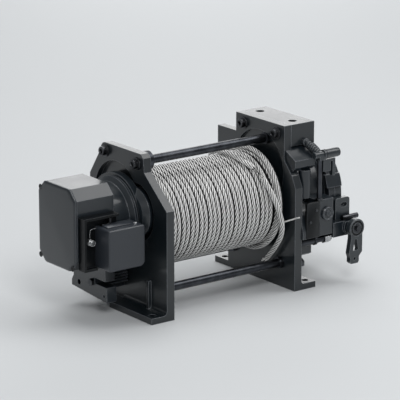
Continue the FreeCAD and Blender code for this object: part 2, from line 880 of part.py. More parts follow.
def tube(label, route, radius):
    """A round tube along straight runs joined by tangent arcs, each as large as its runs allow."""
    middle_line = FreeCAD.Vector(0, size("drum_at"), size("drum_high"))
    points = [middle_line + FreeCAD.Vector(*p) for p in route]
    edges = []
    start = points[0]
    for before, corner, after in zip(points, points[1:], points[2:]):
        inward = (before - corner).normalize()
        outward = (after - corner).normalize()
        turn = math.pi - inward.getAngle(outward)
        reach = ARC_SHARE * min((before - corner).Length, (after - corner).Length)
        bend = reach / math.tan(turn / 2)
        middle = corner + (inward + outward).normalize() * (bend / math.cos(turn / 2) - bend)
        arc_from = corner + inward * reach
        arc_to = corner + outward * reach
        edges.append(Part.LineSegment(start, arc_from).toShape())
        edges.append(Part.Arc(arc_from, middle, arc_to).toShape())
        start = arc_to
        print("%s bend radius %.1f" % (label, bend))
    edges.append(Part.LineSegment(start, points[-1]).toShape())
    path = Part.Wire(edges)
    section = Part.Wire(Part.makeCircle(radius, points[0], points[1] - points[0]))
    solid = path.makePipeShell([section], True, False)
    plain_volume = math.pi * radius ** 2 * path.Length
    print("%s volume over section x length %.4f" % (label, solid.Volume / plain_volume))
    print("%s length %.1f" % (label, path.Length))
    piece = doc.addObject("Part::Feature", label)
    piece.Shape = solid
    return piece


rope_tail = tube("rope_tail", TAIL_ROUTE, size("rope_radius"))

# Tie bars between the plates, turned with their shoulders and rings

upper_tie_bar = turned("upper_tie_bar", [
    ("-inner_face", "floor_at"),
    ("-inner_face", "shoulder_radius"),
    ("-inner_face + shoulder_long", "shoulder_radius"),
    ("-inner_face + shoulder_long", "bar_radius"),
    ("inner_face + arch_deep - ring_long", "bar_radius"),
    ("inner_face + arch_deep - ring_long", "ring_radius"),
    ("inner_face + arch_deep", "ring_radius"),
    ("inner_face + arch_deep", "floor_at"),
], behind("upper_bar_back"), "upper_bar_high")
lower_front_tie_bar = turned("lower_front_tie_bar", [
    ("-inner_face", "floor_at"),
    ("-inner_face", "bar_radius"),
    ("inner_face - ring_long", "bar_radius"),
    ("inner_face - ring_long", "ring_radius"),
    ("inner_face", "ring_radius"),
    ("inner_face", "floor_at"),
], behind("lower_front_bar_back"), "lower_bar_high")
lower_rear_tie_bar = turned("lower_rear_tie_bar", [
    ("-inner_face", "floor_at"),
    ("-inner_face", "bar_radius"),
    ("inner_face - ring_long", "bar_radius"),
    ("inner_face - ring_long", "ring_radius"),
    ("inner_face", "ring_radius"),
    ("inner_face", "floor_at"),
], behind("lower_rear_bar_back"), "lower_bar_high")

# Gearbox on the right plate: flanged case with a waist, a lobe for the crank shaft, and an end cap

case_turned = turned("case_turned", [
    ("outer_face", "floor_at"),
    ("outer_face", "case_radius"),
    ("outer_face + case_flange_wide", "case_radius"),
    ("outer_face + case_flange_wide", "case_waist_radius"),
    ("case_waist_end", "case_waist_radius"),
    ("case_waist_end", "case_radius"),
    ("case_out", "case_radius"),
    ("case_out", "floor_at"),
], "drum_at", "drum_high")
case_lobe = rod("case_lobe", "lobe_radius", "X", "outer_face", "lobe_out",
                (behind("lobe_back"), "lobe_high"))
lobe_face = block("lobe_face", ("inner_face", "case_out"),
                  (behind("lobe_back - 2 * lobe_radius"), behind("lobe_face_back")),
                  ("lobe_high - 2 * lobe_radius", "clutch_low"))
case_lobe_faced = cut("case_lobe_faced", case_lobe, [lobe_face])
gearbox_case = joined("gearbox_case", [case_turned, case_lobe_faced])
cap_turned = turned("cap_turned", [
    ("case_out", "floor_at"),
    ("case_out", "case_radius"),
    ("cap_out - cap_edge", "case_radius"),
    ("cap_out", "case_radius - cap_edge"),
    ("cap_out", "cap_dish_radius"),
    ("cap_out - cap_dish_deep", "cap_dish_radius"),
    ("cap_out - cap_dish_deep", "floor_at"),
], "drum_at", "drum_high")
cap_flat = block("cap_flat", ("case_out - cap_edge", "cap_out + cap_edge"),
                 ("drum_at - 2 * case_radius", "drum_at + 2 * case_radius"),
                 ("drum_high + cap_flat_up", "drum_high + 2 * case_radius"))
gearbox_end_cap = cut("gearbox_end_cap", cap_turned, [cap_flat])
saddle_band = turned("saddle_band", [
    ("case_waist_end - saddle_left", "case_radius"),
    ("case_waist_end - saddle_left", "case_radius + saddle_wall"),
    ("cap_out - saddle_right - cap_edge", "case_radius + saddle_wall"),
    ("cap_out - saddle_right - cap_edge", "case_radius"),
], "drum_at", "drum_high")
saddle_keep = block("saddle_keep", ("case_waist_end - 2 * saddle_left", "cap_out"),
                    ("drum_at - 2 * case_radius", "drum_at"),
                    ("drum_high + saddle_low_up", "drum_high + saddle_top_up"))
clutch_saddle = shared("clutch_saddle", saddle_band, saddle_keep)

# Clutch box in front of the case, hollowed behind to fit round its waist, and the dial on its front

clutch_block = padded("clutch_block", "Z", [
    ("lobe_out", "clutch_front"),
    ("clutch_out", "clutch_front"),
    ("clutch_out", "clutch_rear"),
    ("lobe_out", "clutch_rear"),
], "clutch_low", "clutch_high")


def on_clutch_front(edge):
    """The upright edges at the clutch box's front."""
    return runs_along(edge, ALONG_Z) and edge.CenterOfMass.y < size("clutch_front") + 1e-3


softened(clutch_block, "clutch_edge", on_clutch_front)
case_clear = rod("case_clear", "case_waist_radius", "X", "outer_face", "case_out", ("drum_at", "drum_high"))
clutch_box = cut("clutch_box", clutch_block, [case_clear])
clutch_dial = rod("clutch_dial", "dial_radius", "Y", "clutch_front - dial_wall", "clutch_front",
                  ("clutch_out - dial_in", "dial_high"))

# Slanted ear on the plate and the boss under it

ear_block = padded("ear_block", "X", [
    ("ear_front", "ear_chin_high"),
    ("ear_front", "block_low - ear_front_drop"),
    ("ear_rear", "block_low - ear_block_gap"),
    ("ear_rear", "ear_low"),
    ("ear_front + ear_chin_up", "ear_low"),
], "outer_face - ear_lap", "outer_face + ear_wide")
clutch_ear = cut("clutch_ear", ear_block, [right_casting])
ear_boss = rod("ear_boss", "boss_radius", "Z", "ear_low - boss_drop", "ear_low",
               ("outer_face + boss_out", behind("boss_back")))

# Clutch linkage: spring link from the block to a sleeve, upright rod, fork and grip

link_bush = rod("link_bush", "bush_radius", "Y", "tab_front - bush_long", "tab_front",
                ("link_x", "link_high"))
link_ball = doc.addObject("Part::Sphere", "link_ball")
link_ball.setExpression("Radius", bound("link_radius"))
place(link_ball, "link_x", "tab_front - bush_long", "link_high")


def leaning_rod(label, radius, start, end):
    """A round bar between two points, each given as three formulas."""
    piece = doc.addObject("Part::Cylinder", label)
    piece.setExpression("Radius", bound(radius))
    run = ["((%s) - (%s))" % (b, a) for a, b in zip(start, end)]
    reach = "sqrt(%s^2 + %s^2 + %s^2)" % tuple(run)
    piece.setExpression("Height", bound(reach))
    place(piece, *start)
    tilt_axis = "create(<<vector>>; -%s; %s; 0)" % (run[1], run[0])
    lean = "create(<<rotation>>; %s; acos(%s / %s))" % (tilt_axis, run[2], reach)
    piece.setExpression(".Placement.Rotation", bound(lean))
    return piece


link_rod = leaning_rod("link_rod", "link_radius", ("link_x", "tab_front - bush_long", "link_high"),
                       ("sleeve_right - link_end_in", "plate_front", "sleeve_high"))
link_sleeve = rod("link_sleeve", "sleeve_radius", "X", "sleeve_left", "sleeve_right",
                  ("plate_front", "sleeve_high"))
link_foot = block("link_foot", ("outer_face + front_rod_out - sleeve_block_wide / 2",
                                "outer_face + front_rod_out + sleeve_block_wide / 2"),
                  ("plate_front - sleeve_radius", "plate_front + sleeve_radius"),
                  ("sleeve_high - sleeve_drop", "sleeve_high"))
spring_link = joined("spring_link", [link_bush, link_ball, link_rod, link_sleeve, link_foot])
front_rod = rod("front_rod", "front_rod_radius", "Z", "clutch_high", "sleeve_high - sleeve_drop",
                ("outer_face + front_rod_out", behind("front_rod_back")))
fork_disc = rod("fork_disc", "grip_radius", "X", "sleeve_right", "fork_plate_right",
                ("plate_front", "sleeve_high"))
fork_plate = padded("fork_plate", "Y", [
    ("sleeve_right", "fork_block_low"),
    ("sleeve_right", "sleeve_high"),
    ("fork_plate_right", "sleeve_high"),
    ("fork_plate_right", "fork_top"),
    ("sleeve_right + fork_right", "fork_top"),
    ("sleeve_right + fork_right", "fork_prong_low"),
    ("sleeve_right + fork_slot_right", "fork_prong_low"),
    ("sleeve_right + fork_slot_right", "fork_slot_high"),
    ("sleeve_right + fork_block_right", "fork_slot_high"),
    ("sleeve_right + fork_block_right", "fork_block_low"),
], "fork_front", "fork_front + fork_wall")
clutch_fork = joined("clutch_fork", [fork_disc, fork_plate])
clutch_grip = turned("clutch_grip", [
    ("fork_plate_right", "floor_at"),
    ("fork_plate_right", "grip_radius"),
    ("fork_plate_right + grip_long - grip_edge", "grip_radius"),
    ("fork_plate_right + grip_long", "grip_radius - grip_edge"),
    ("fork_plate_right + grip_long", "floor_at"),
], "plate_front", "sleeve_high")

# Crank housing on the clutch box's side, with the hub that the crank's shaft turns in

housing_arm = block("housing_arm", ("clutch_out", "housing_out"), ("clutch_front", "housing_rear"),
                    ("housing_low", "housing_high"))
housing_hub = rod("housing_hub", "hub_radius", "Y", "hub_front", "housing_rear",
                  ("housing_out", "crank_high"))
housing_top = block("housing_top", ("clutch_out", "housing_out + 2 * hub_radius"),
                    ("hub_front - crank_gap", "housing_rear + crank_gap"),
                    ("housing_high", "crank_high + 2 * hub_radius"))
housing_bore = rod("housing_bore", "crank_shaft_radius + running_fit", "Y", "crank_back",
                   "housing_rear - crank_shaft_seat", ("housing_out", "crank_high"))
crank_housing = cut("crank_housing", joined("housing_blank", [housing_arm, housing_hub]),
                    [housing_top, housing_bore])

# Lug plate with its slot, and the stop pin, both on top of the crank housing

lug_plate = padded("lug_plate", "Y", [
    ("lug_left", "housing_high"),
    ("lug_left", "lug_high"),
    ("lug_left + lug_wide", "lug_high"),
    ("lug_left + lug_wide", "housing_high"),
], "lug_front", "lug_front + lug_wall")


def on_lug_top(edge):
    """The lug's two upper corners."""
    return runs_along(edge, ALONG_Y) and edge.CenterOfMass.z > size("lug_high") - 1e-3


softened(lug_plate, "lug_round", on_lug_top)


lug_slot_z = "lug_high - lug_slot_drop"
lug_slot = joined("lug_slot", [
    rod("lug_slot_left", "lug_slot_radius", "Y", "lug_front - lug_wall", "lug_front + lug_slot_deep",
        ("lug_left + lug_slot_in - lug_slot_half", lug_slot_z)),
    rod("lug_slot_right", "lug_slot_radius", "Y", "lug_front - lug_wall", "lug_front + lug_slot_deep",
        ("lug_left + lug_slot_in + lug_slot_half", lug_slot_z)),
    block("lug_slot_middle",
          ("lug_left + lug_slot_in - lug_slot_half", "lug_left + lug_slot_in + lug_slot_half"),
          ("lug_front - lug_wall", "lug_front + lug_slot_deep"),
          (lug_slot_z + " - lug_slot_radius", lug_slot_z + " + lug_slot_radius")),
])
crank_lug = cut("crank_lug", lug_plate, [lug_slot])
pin_bar = rod("pin_bar", "pin_radius", "X", "clutch_out + pin_in", "clutch_out + pin_in + pin_long",
              (behind("pin_back"), "housing_high + pin_radius"))
pin_seat = block("pin_seat", ("clutch_out + pin_in", "clutch_out + pin_in + pin_seat_long"),
                 (behind("pin_back - pin_seat_wide / 2"), behind("pin_back + pin_seat_wide / 2")),
                 ("housing_high", "housing_high + pin_radius"))
stop_pin = joined("stop_pin", [pin_bar, pin_seat])

# Crank: disc, widening arm with a tapered slot, stepped tip with a small hole, shaft and bolt

crank_disc = rod("crank_disc", "crank_disc_radius", "Y", "crank_front", "crank_back",
                 ("housing_out", "crank_high"))


def crank_corners(middle, half, drop):
    """The right and the left corner of the crank's arm at one level."""
    level = "crank_high - " + drop
    return (middle + " + " + half, level), (middle + " - " + half, level)


crank_levels = [
    crank_corners("housing_out", "crank_waist_half", "floor_at"),
    crank_corners("housing_out", "crank_waist_half", "crank_waist_drop"),
    crank_corners("crank_belly_x", "crank_belly_half", "crank_belly_drop"),
    crank_corners("crank_tip_x", "crank_step_half", "crank_step_drop"),
    crank_corners("crank_tip_x", "crank_step_half", "(crank_tip_drop - crank_tip_cut)"),
    crank_corners("crank_tip_x", "crank_tip_half", "crank_tip_drop"),
]
crank_arm = padded("crank_arm", "Y", [right for right, left in crank_levels]
                   + [left for right, left in reversed(crank_levels)], "crank_front", "crank_back")
crank_shaft = rod("crank_shaft", "crank_shaft_radius", "Y", "crank_back", "housing_rear - crank_shaft_seat",
                  ("housing_out", "crank_high"))
slot_top = crank_corners("crank_belly_x", "crank_slot_top_half", "crank_slot_top_drop")
slot_low = crank_corners("crank_belly_x", "crank_slot_low_half", "crank_slot_low_drop")
crank_slot = padded("crank_slot", "Y", [slot_top[0], slot_low[0], slot_low[1], slot_top[1]],
                    "crank_front - crank_wall", "crank_back + crank_wall")
crank_hole = rod("crank_hole", "crank_hole_radius", "Y", "crank_front - crank_wall",
                 "crank_back + crank_wall", ("crank_tip_x", "crank_high - crank_hole_drop"))
crank_lever = cut("crank_lever", joined("crank_blank", [crank_disc, crank_arm, crank_shaft]),
                  [crank_slot, crank_hole])
crank_washer = rod("crank_washer", "crank_washer_radius", "Y", "crank_front - crank_washer_wall",
                   "crank_front", ("housing_out", "crank_high"))
crank_head = hexagon("crank_head", "crank_head_radius", "Y",
                     "crank_front - crank_washer_wall - crank_head_long",
                     "crank_front - crank_washer_wall", ("housing_out", "crank_high"))
crank_bolt = joined("crank_bolt", [crank_washer, crank_head])

# Fitting under the clutch box: ringed body from the plate, hexagon nut and spigot

drain_fitting = turned("drain_fitting", [
    ("outer_face", "floor_at"),
    ("outer_face", "fitting_radius"),
    ("fitting_out", "fitting_radius"),
    ("fitting_out", "fitting_ring_radius"),
    ("fitting_out + fitting_ring_long", "fitting_ring_radius"),
    ("fitting_out + fitting_ring_long", "spigot_radius"),
    ("nut_from", "spigot_radius"),
    ("nut_from", "floor_at"),
], "fitting_at", "fitting_high")
nut_body = hexagon("nut_body", "nut_radius", "X", "nut_from", "nut_from + nut_long",
                   ("fitting_at", "fitting_high"))
nut_spigot = rod("nut_spigot", "spigot_radius", "X", "nut_from + nut_long",
                 "nut_from + nut_long + spigot_long", ("fitting_at", "fitting_high"))
fitting_nut = joined("fitting_nut", [nut_body, nut_spigot])

NODES = [
    left_end_plate, right_end_plate, top_mount_block, block_screws, left_plate_screws, right_plate_screw,
    motor_housing, motor_end_cover, gear_bulge, terminal_tray, terminal_lid, terminal_post, cable_clip,
    motor_bracket, bracket_bolt, drum_barrel, rope_winding, rope_tail,
    upper_tie_bar, lower_front_tie_bar, lower_rear_tie_bar,
    gearbox_case, gearbox_end_cap, clutch_saddle, clutch_box, clutch_dial, clutch_ear, ear_boss,
    spring_link, front_rod, clutch_fork, clutch_grip,
    crank_housing, crank_lug, stop_pin, crank_lever, crank_bolt, drain_fitting, fitting_nut,
]

doc.recompute()

for item in doc.Objects:
    if any(word in item.State for word in ("Invalid", "Error")):
        raise RuntimeError("object %s failed" % item.Label)
for node in NODES:
    if node.Shape.isNull() or not node.Shape.isValid():
        raise RuntimeError("shape of %s is not sound" % node.Label)

os.makedirs("parts", exist_ok=True)
for node in NODES:
    node.Shape.exportStep("parts/%s.step" % node.Label)
    print("%-24s %10.0f mm3" % (node.Label, node.Shape.Volume))
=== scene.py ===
"""Electric winch in a pale studio: finishes, wire rope and small fittings round its CAD frame."""
import logging
import math
from dataclasses import dataclass, field
from enum import Enum
from typing import Any, Sequence

import bpy
import numpy as np
from mathutils import Matrix, Vector


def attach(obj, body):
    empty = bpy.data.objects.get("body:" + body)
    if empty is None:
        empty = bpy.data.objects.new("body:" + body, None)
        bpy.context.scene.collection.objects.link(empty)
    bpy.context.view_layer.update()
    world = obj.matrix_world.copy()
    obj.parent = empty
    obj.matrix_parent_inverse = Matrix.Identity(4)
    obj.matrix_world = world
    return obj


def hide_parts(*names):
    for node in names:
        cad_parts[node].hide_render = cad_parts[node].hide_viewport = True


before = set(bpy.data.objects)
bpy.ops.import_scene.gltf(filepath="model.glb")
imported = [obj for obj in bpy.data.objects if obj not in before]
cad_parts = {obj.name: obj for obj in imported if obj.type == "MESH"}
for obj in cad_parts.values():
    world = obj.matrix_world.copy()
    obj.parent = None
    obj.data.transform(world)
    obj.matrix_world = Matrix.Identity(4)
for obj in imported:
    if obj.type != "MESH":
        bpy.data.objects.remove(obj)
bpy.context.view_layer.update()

LOG = logging.getLogger("winch")
MM = 0.001
CREASE = 38.0
COIL_POINTS = 28
COIL_AROUND = 10
WIRE_AROUND = 8
FRAME_BODY = "frame"
DRUM_BODY = "drum"
CRANK_BODY = "crank"


# Shader building

class Signal:
    """A shader socket that takes part in Python arithmetic, adding Math nodes as it goes."""

    def __init__(self, shader: "Shader", socket: Any) -> None:
        """Keeps the shader that the socket is in."""
        self.shader = shader
        self.socket = socket

    def _math(self, operation: str, *values: Any) -> "Signal":
        """The result of one Math node."""
        node = self.shader.node("ShaderNodeMath", {"operation": operation}, dict(enumerate(values)))
        return Signal(self.shader, node.outputs[0])

    def __add__(self, other: Any) -> "Signal":
        """Sum."""
        return self._math("ADD", self, other)

    def __radd__(self, other: Any) -> "Signal":
        """Sum with a number on the left."""
        return self._math("ADD", other, self)

    def __sub__(self, other: Any) -> "Signal":
        """Difference."""
        return self._math("SUBTRACT", self, other)

    def __mul__(self, other: Any) -> "Signal":
        """Product."""
        return self._math("MULTIPLY", self, other)

    def __rmul__(self, other: Any) -> "Signal":
        """Product with a number on the left."""
        return self._math("MULTIPLY", other, self)

    def sine(self) -> "Signal":
        """Sine of an angle in radians."""
        return self._math("SINE", self)

    def clamped(self) -> "Signal":
        """The value kept between 0 and 1."""
        return self._math("MINIMUM", self._math("MAXIMUM", self, 0.0), 1.0)


class Shader:
    """Builds one material's nodes."""

    def __init__(self, name: str) -> None:
        """Makes an empty node material with its output."""
        self.material = bpy.data.materials.new(name)
        self.material.use_nodes = True
        self.tree = self.material.node_tree
        self.tree.nodes.clear()
        self.output = self.tree.nodes.new("ShaderNodeOutputMaterial")

    def node(self, kind: str, settings: dict[str, Any] | None = None,
             inputs: dict[Any, Any] | None = None) -> Any:
        """Adds one node.

        Args:
            kind: Blender's node type.
            settings: properties that are set before the sockets.
            inputs: values, signals or sockets by input name or number.

        Returns:
            The new node.
        """
        made = self.tree.nodes.new(kind)
        for name, value in (settings or {}).items():
            setattr(made, name, value)
        for key, value in (inputs or {}).items():
            self.feed(made.inputs[key], value)
        return made

    def feed(self, socket: Any, value: Any) -> None:
        """Links a signal or socket to an input, or sets a plain value on it.

        Args:
            socket: the input.
            value: a signal, a socket, a number or a colour.
        """
        if isinstance(value, Signal):
            value = value.socket
        if isinstance(value, bpy.types.NodeSocket):
            self.tree.links.new(value, socket)
        else:
            socket.default_value = value

    def place(self) -> Any:
        """The socket with the object's own coordinates."""
        return self.node("ShaderNodeTexCoord").outputs["Object"]

    def noise(self, scale: float, detail: float = 3.0, rough: float = 0.5) -> Signal:
        """Soft noise about 0.5 at a number of features per metre."""
        node = self.node("ShaderNodeTexNoise", {"noise_dimensions": "3D"},
                         {"Vector": self.place(), "Scale": scale, "Detail": detail, "Roughness": rough})
        return Signal(self, node.outputs["Fac"])

    def ramp(self, value: Signal, low: float, high: float) -> Signal:
        """Smooth step of a signal from 0 at low to 1 at high."""
        node = self.node("ShaderNodeMapRange", {"interpolation_type": "SMOOTHSTEP"},
                         {"Value": value, "From Min": low, "From Max": high})
        return Signal(self, node.outputs["Result"])

    def mixed(self, amount: Signal, first: Any, second: Any) -> Any:
        """Colour between two colours.

        Args:
            amount: 0 for the first colour, 1 for the second.
            first: a colour, or a socket that gives one.
            second: a colour, or a socket that gives one.

        Returns:
            The socket with the mixed colour.
        """
        node = self.node("ShaderNodeMix", {"data_type": "RGBA"})
        self.feed(node.inputs[0], amount)
        self.feed(node.inputs[6], first)
        self.feed(node.inputs[7], second)
        return node.outputs[2]

    def bump(self, height: Signal, distance: float, strength: float = 1.0, normal: Any = None) -> Any:
        """Normal bent by fine relief.

        Args:
            height: the relief, between 0 and 1.
            distance: metres that a height of 1 stands for.
            strength: how much of the bend is used.
            normal: the normal that is bent, or None for the surface's own.

        Returns:
            The socket with the new normal.
        """
        node = self.node("ShaderNodeBump", None,
                         {"Height": height, "Distance": distance, "Strength": strength})
        if normal is not None:
            self.feed(node.inputs["Normal"], normal)
        return node.outputs["Normal"]

    def rounded(self, radius: float) -> tuple[Any, Signal]:
        """Rounds sharp edges off in the shading.

        Args:
            radius: radius of the round in metres.

        Returns:
            The socket with the rounded normal, and a mask that is 1 on such edges.
        """
        bevel = self.node("ShaderNodeBevel", {"samples": 6}, {"Radius": radius})
        geometry = self.node("ShaderNodeNewGeometry")
        dot = self.node("ShaderNodeVectorMath", {"operation": "DOT_PRODUCT"},
                        {0: bevel.outputs["Normal"], 1: geometry.outputs["True Normal"]})
        edge = self.ramp(Signal(self, dot.outputs["Value"]), 0.995, 0.90)
        return bevel.outputs["Normal"], edge

    def close(self, **sockets: Any) -> bpy.types.Material:
        """Ends the material in a Principled shader.

        Args:
            **sockets: a value or a signal for each input, by its name in small letters.

        Returns:
            The finished material.
        """
        shader = self.node("ShaderNodeBsdfPrincipled")
        for key, value in sockets.items():
            name = key.replace("_", " ").title().replace("Ior", "IOR")
            self.feed(shader.inputs[name], value)
        self.tree.links.new(shader.outputs["BSDF"], self.output.inputs["Surface"])
        return self.material


# Finishes

@dataclass(frozen=True)
class Paint:
    """Satin machine paint on a casting: fine grain, slow mottling, painted highlight along the edges."""

    name: str
    slot: str
    colour: tuple[float, float, float, float]
    # Paler colour painted along the edges as a highlight.
    edge_highlight: tuple[float, float, float, float]
    edge: float = 0.0015
    grain: float = 900.0
    grain_depth: float = 0.0001
    roughness: float = 0.34
    coat: float = 0.45
    gloss: float = 0.5

    def material(self) -> bpy.types.Material:
        """Builds the paint.

        Returns:
            The material.
        """
        made = Shader(self.name)
        normal, edge = made.rounded(self.edge)
        mottle = made.noise(28.0)
        grain = made.noise(self.grain, 2.0)
        # Painted highlight: the rounded edges are mixed towards the paler colour, broken up in patches by
        # noise.
        highlight_patches = made.ramp(made.noise(160.0, 5.0, 0.65), 0.55, 0.72)
        dark = tuple(0.8 * c for c in self.colour[:3]) + (1.0,)
        body = made.mixed(mottle, dark, self.colour)
        highlight_mask = (edge * (0.5 + 0.5 * highlight_patches)).clamped()
        return made.close(
            base_color=made.mixed(highlight_mask, body, self.edge_highlight),
            roughness=self.roughness + 0.16 * (mottle - 0.5) + 0.05 * (grain - 0.5),
            specular_ior_level=self.gloss,
            coat_weight=self.coat,
            coat_roughness=0.1,
            normal=made.bump(grain, self.grain_depth, 0.35, normal),
        )


@dataclass(frozen=True)
class Steel:
    """Machined or plated steel with a fine grain, dulled patches and a painted highlight along its edges."""

    name: str
    slot: str
    colour: tuple[float, float, float, float]
    dull: tuple[float, float, float, float]
    roughness: float = 0.3
    edge: float = 0.0005
    metal: float = 1.0

    def material(self) -> bpy.types.Material:
        """Builds the steel.

        Returns:
            The material.
        """
        made = Shader(self.name)
        normal, edge = made.rounded(self.edge)
        patches = made.noise(70.0, 4.0)
        fine = made.noise(1500.0, 2.0)
        body = made.mixed(made.ramp(patches, 0.35, 0.7), self.dull, self.colour)
        # Painted highlight: a paler copy of the colour is mixed in along the rounded edges.
        bright = tuple(min(1.0, 1.35 * c) for c in self.colour[:3]) + (1.0,)
        return made.close(
            base_color=made.mixed(0.6 * edge, body, bright),
            roughness=self.roughness + 0.18 * (patches - 0.5),
            metallic=self.metal,
            normal=made.bump(fine, 0.00006, 0.3, normal),
        )


@dataclass(frozen=True)
class WireRope:
    """Galvanised rope wire: pale crowns, painted shade in the grooves between strands and between turns, fine
    wires along the rope.
    """

    name: str
    slot: str
    crown: tuple[float, float, float, float] = (0.97, 0.965, 0.95, 1.0)
    # Near-black colour of the painted shade in the grooves.
    groove: tuple[float, float, float, float] = (0.010, 0.010, 0.011, 1.0)
    wires: float = 42.0
    metal: float = 0.25
    roughness: float = 0.38

    def material(self) -> bpy.types.Material:
        """Builds the rope wire; reads the crown attribute and the rope's own UV map.

        Returns:
            The material.
        """
        made = Shader(self.name)
        attribute = made.node("ShaderNodeAttribute", {"attribute_name": "crown"})
        height = Signal(made, attribute.outputs["Fac"])
        uv = made.node("ShaderNodeUVMap", {"uv_map": "lay"}).outputs["UV"]
        turn = made.node("ShaderNodeSeparateXYZ", None, {0: uv}).outputs["Y"]
        wire = (Signal(made, turn) * (2 * math.pi * self.wires)).sine() * 0.5 + 0.5
        grime = made.noise(55.0, 4.0, 0.6)
        # Painted shade: the crown attribute darkens the valleys between strands and the sides of packed
        # turns, and the wire stripes darken the lines between wires; the grime noise shifts this a little.
        lit_and_clean = made.ramp(height + 0.20 * (grime - 0.5), 0.30, 0.92)
        shade = (lit_and_clean * (0.82 + 0.18 * wire)).clamped()
        return made.close(
            base_color=made.mixed(shade, self.groove, self.crown),
            roughness=self.roughness + 0.2 * (grime - 0.5),
            metallic=self.metal,
            normal=made.bump(wire, 0.00018, 0.5),
        )


@dataclass(frozen=True)
class Plastic:
    """Moulded plastic with a fine spark-eroded grain and a painted highlight along its edges."""

    name: str
    slot: str
    colour: tuple[float, float, float, float]
    roughness: float = 0.38
    edge: float = 0.001

    def material(self) -> bpy.types.Material:
        """Builds the plastic.

        Returns:
            The material.
        """
        made = Shader(self.name)
        normal, edge = made.rounded(self.edge)
        cloud = made.noise(40.0)
        grain = made.noise(1300.0, 2.0)
        dark = tuple(0.82 * c for c in self.colour[:3]) + (1.0,)
        # Painted highlight: a paler copy of the colour is mixed in along the rounded edges.
        pale = tuple(1.6 * c for c in self.colour[:3]) + (1.0,)
        return made.close(
            base_color=made.mixed(0.5 * edge, made.mixed(cloud, dark, self.colour), pale),
            roughness=self.roughness + 0.1 * (cloud - 0.5),
            coat_weight=0.25,
            coat_roughness=0.2,
            normal=made.bump(grain, 0.00008, 0.3, normal),
        )


class Finish(Enum):
    """The finishes of this winch."""

    HOUSING = Paint("graphite_housing", "graphite_paint", (0.010, 0.015, 0.020, 1.0), (0.26, 0.28, 0.31, 1.0))
    PLATE = Paint("graphite_plate", "graphite_paint", (0.008, 0.012, 0.015, 1.0), (0.28, 0.30, 0.33, 1.0))
    DARK = Paint("shaded_black", "graphite_paint", (0.003, 0.004, 0.005, 1.0), (0.07, 0.075, 0.08, 1.0),
                 coat=0.1, gloss=0.2)
    LEVER = Paint("lever_paint", "graphite_paint", (0.018, 0.024, 0.029, 1.0), (0.30, 0.32, 0.34, 1.0))
    BAR = Steel("blackened_bar", "dark_steel", (0.075, 0.080, 0.090, 1.0), (0.045, 0.048, 0.055, 1.0))
    SCREW = Steel("blackened_screw", "dark_steel", (0.10, 0.103, 0.11, 1.0), (0.05, 0.052, 0.057, 1.0))
    PLATED = Steel("plated_steel", "bright_steel", (0.60, 0.61, 0.62, 1.0), (0.26, 0.265, 0.27, 1.0), 0.26)
    ROPE = WireRope("galvanised_rope", "zinc_rope")
    # Painted shade: near-black steel for the layer below the turns, seen only in the gaps between them.
    UNDER = Steel("rope_gap_shade", "zinc_rope", (0.03, 0.03, 0.03, 1.0), (0.01, 0.01, 0.01, 1.0), 0.5)
    WIRE = Steel("zinc_strand", "zinc_rope", (0.80, 0.80, 0.78, 1.0), (0.50, 0.50, 0.49, 1.0), 0.4, metal=0.3)
    LID = Plastic("terminal_plastic", "lid_plastic", (0.024, 0.029, 0.037, 1.0))


class Palette:
    """Builds each finish once, and gives it to CAD nodes and to new pieces."""

    def __init__(self) -> None:
        """Starts with no material built."""
        self._made: dict[Finish, bpy.types.Material] = {}

    def __call__(self, finish: Finish) -> bpy.types.Material:
        """The material of a finish, built when it is first asked for.

        Args:
            finish: the finish.

        Returns:
            Its material.
        """
        if finish not in self._made:
            self._made[finish] = finish.value.material()
        return self._made[finish]

    def dress(self, finish: Finish, *nodes: str) -> None:
        """Gives CAD nodes a finish.

        Args:
            finish: the finish.
            *nodes: names of the nodes.
        """
        for name in nodes:
            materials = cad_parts[name].data.materials
            if not materials:
                materials.append(None)
            for index in range(len(materials)):
                materials[index] = self(finish)

    def hand_over(self, piece: bpy.types.Object, finish: Finish, body: str = FRAME_BODY, instead: str = "",
                  slot: str = "") -> None:
        """Gives a new piece its finish and its body.

        Args:
            piece: the new object.
            finish: its finish.
            body: name of the body that it rides on.
            instead: CAD node that it stands in for, or nothing.
            slot: not used.
        """
        slot = slot or finish.value.slot
        piece.data.materials.append(self(finish))
        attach(piece, body)
        if instead:
            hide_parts(instead)
        LOG.info("piece %s", piece.name)


# Surfaces

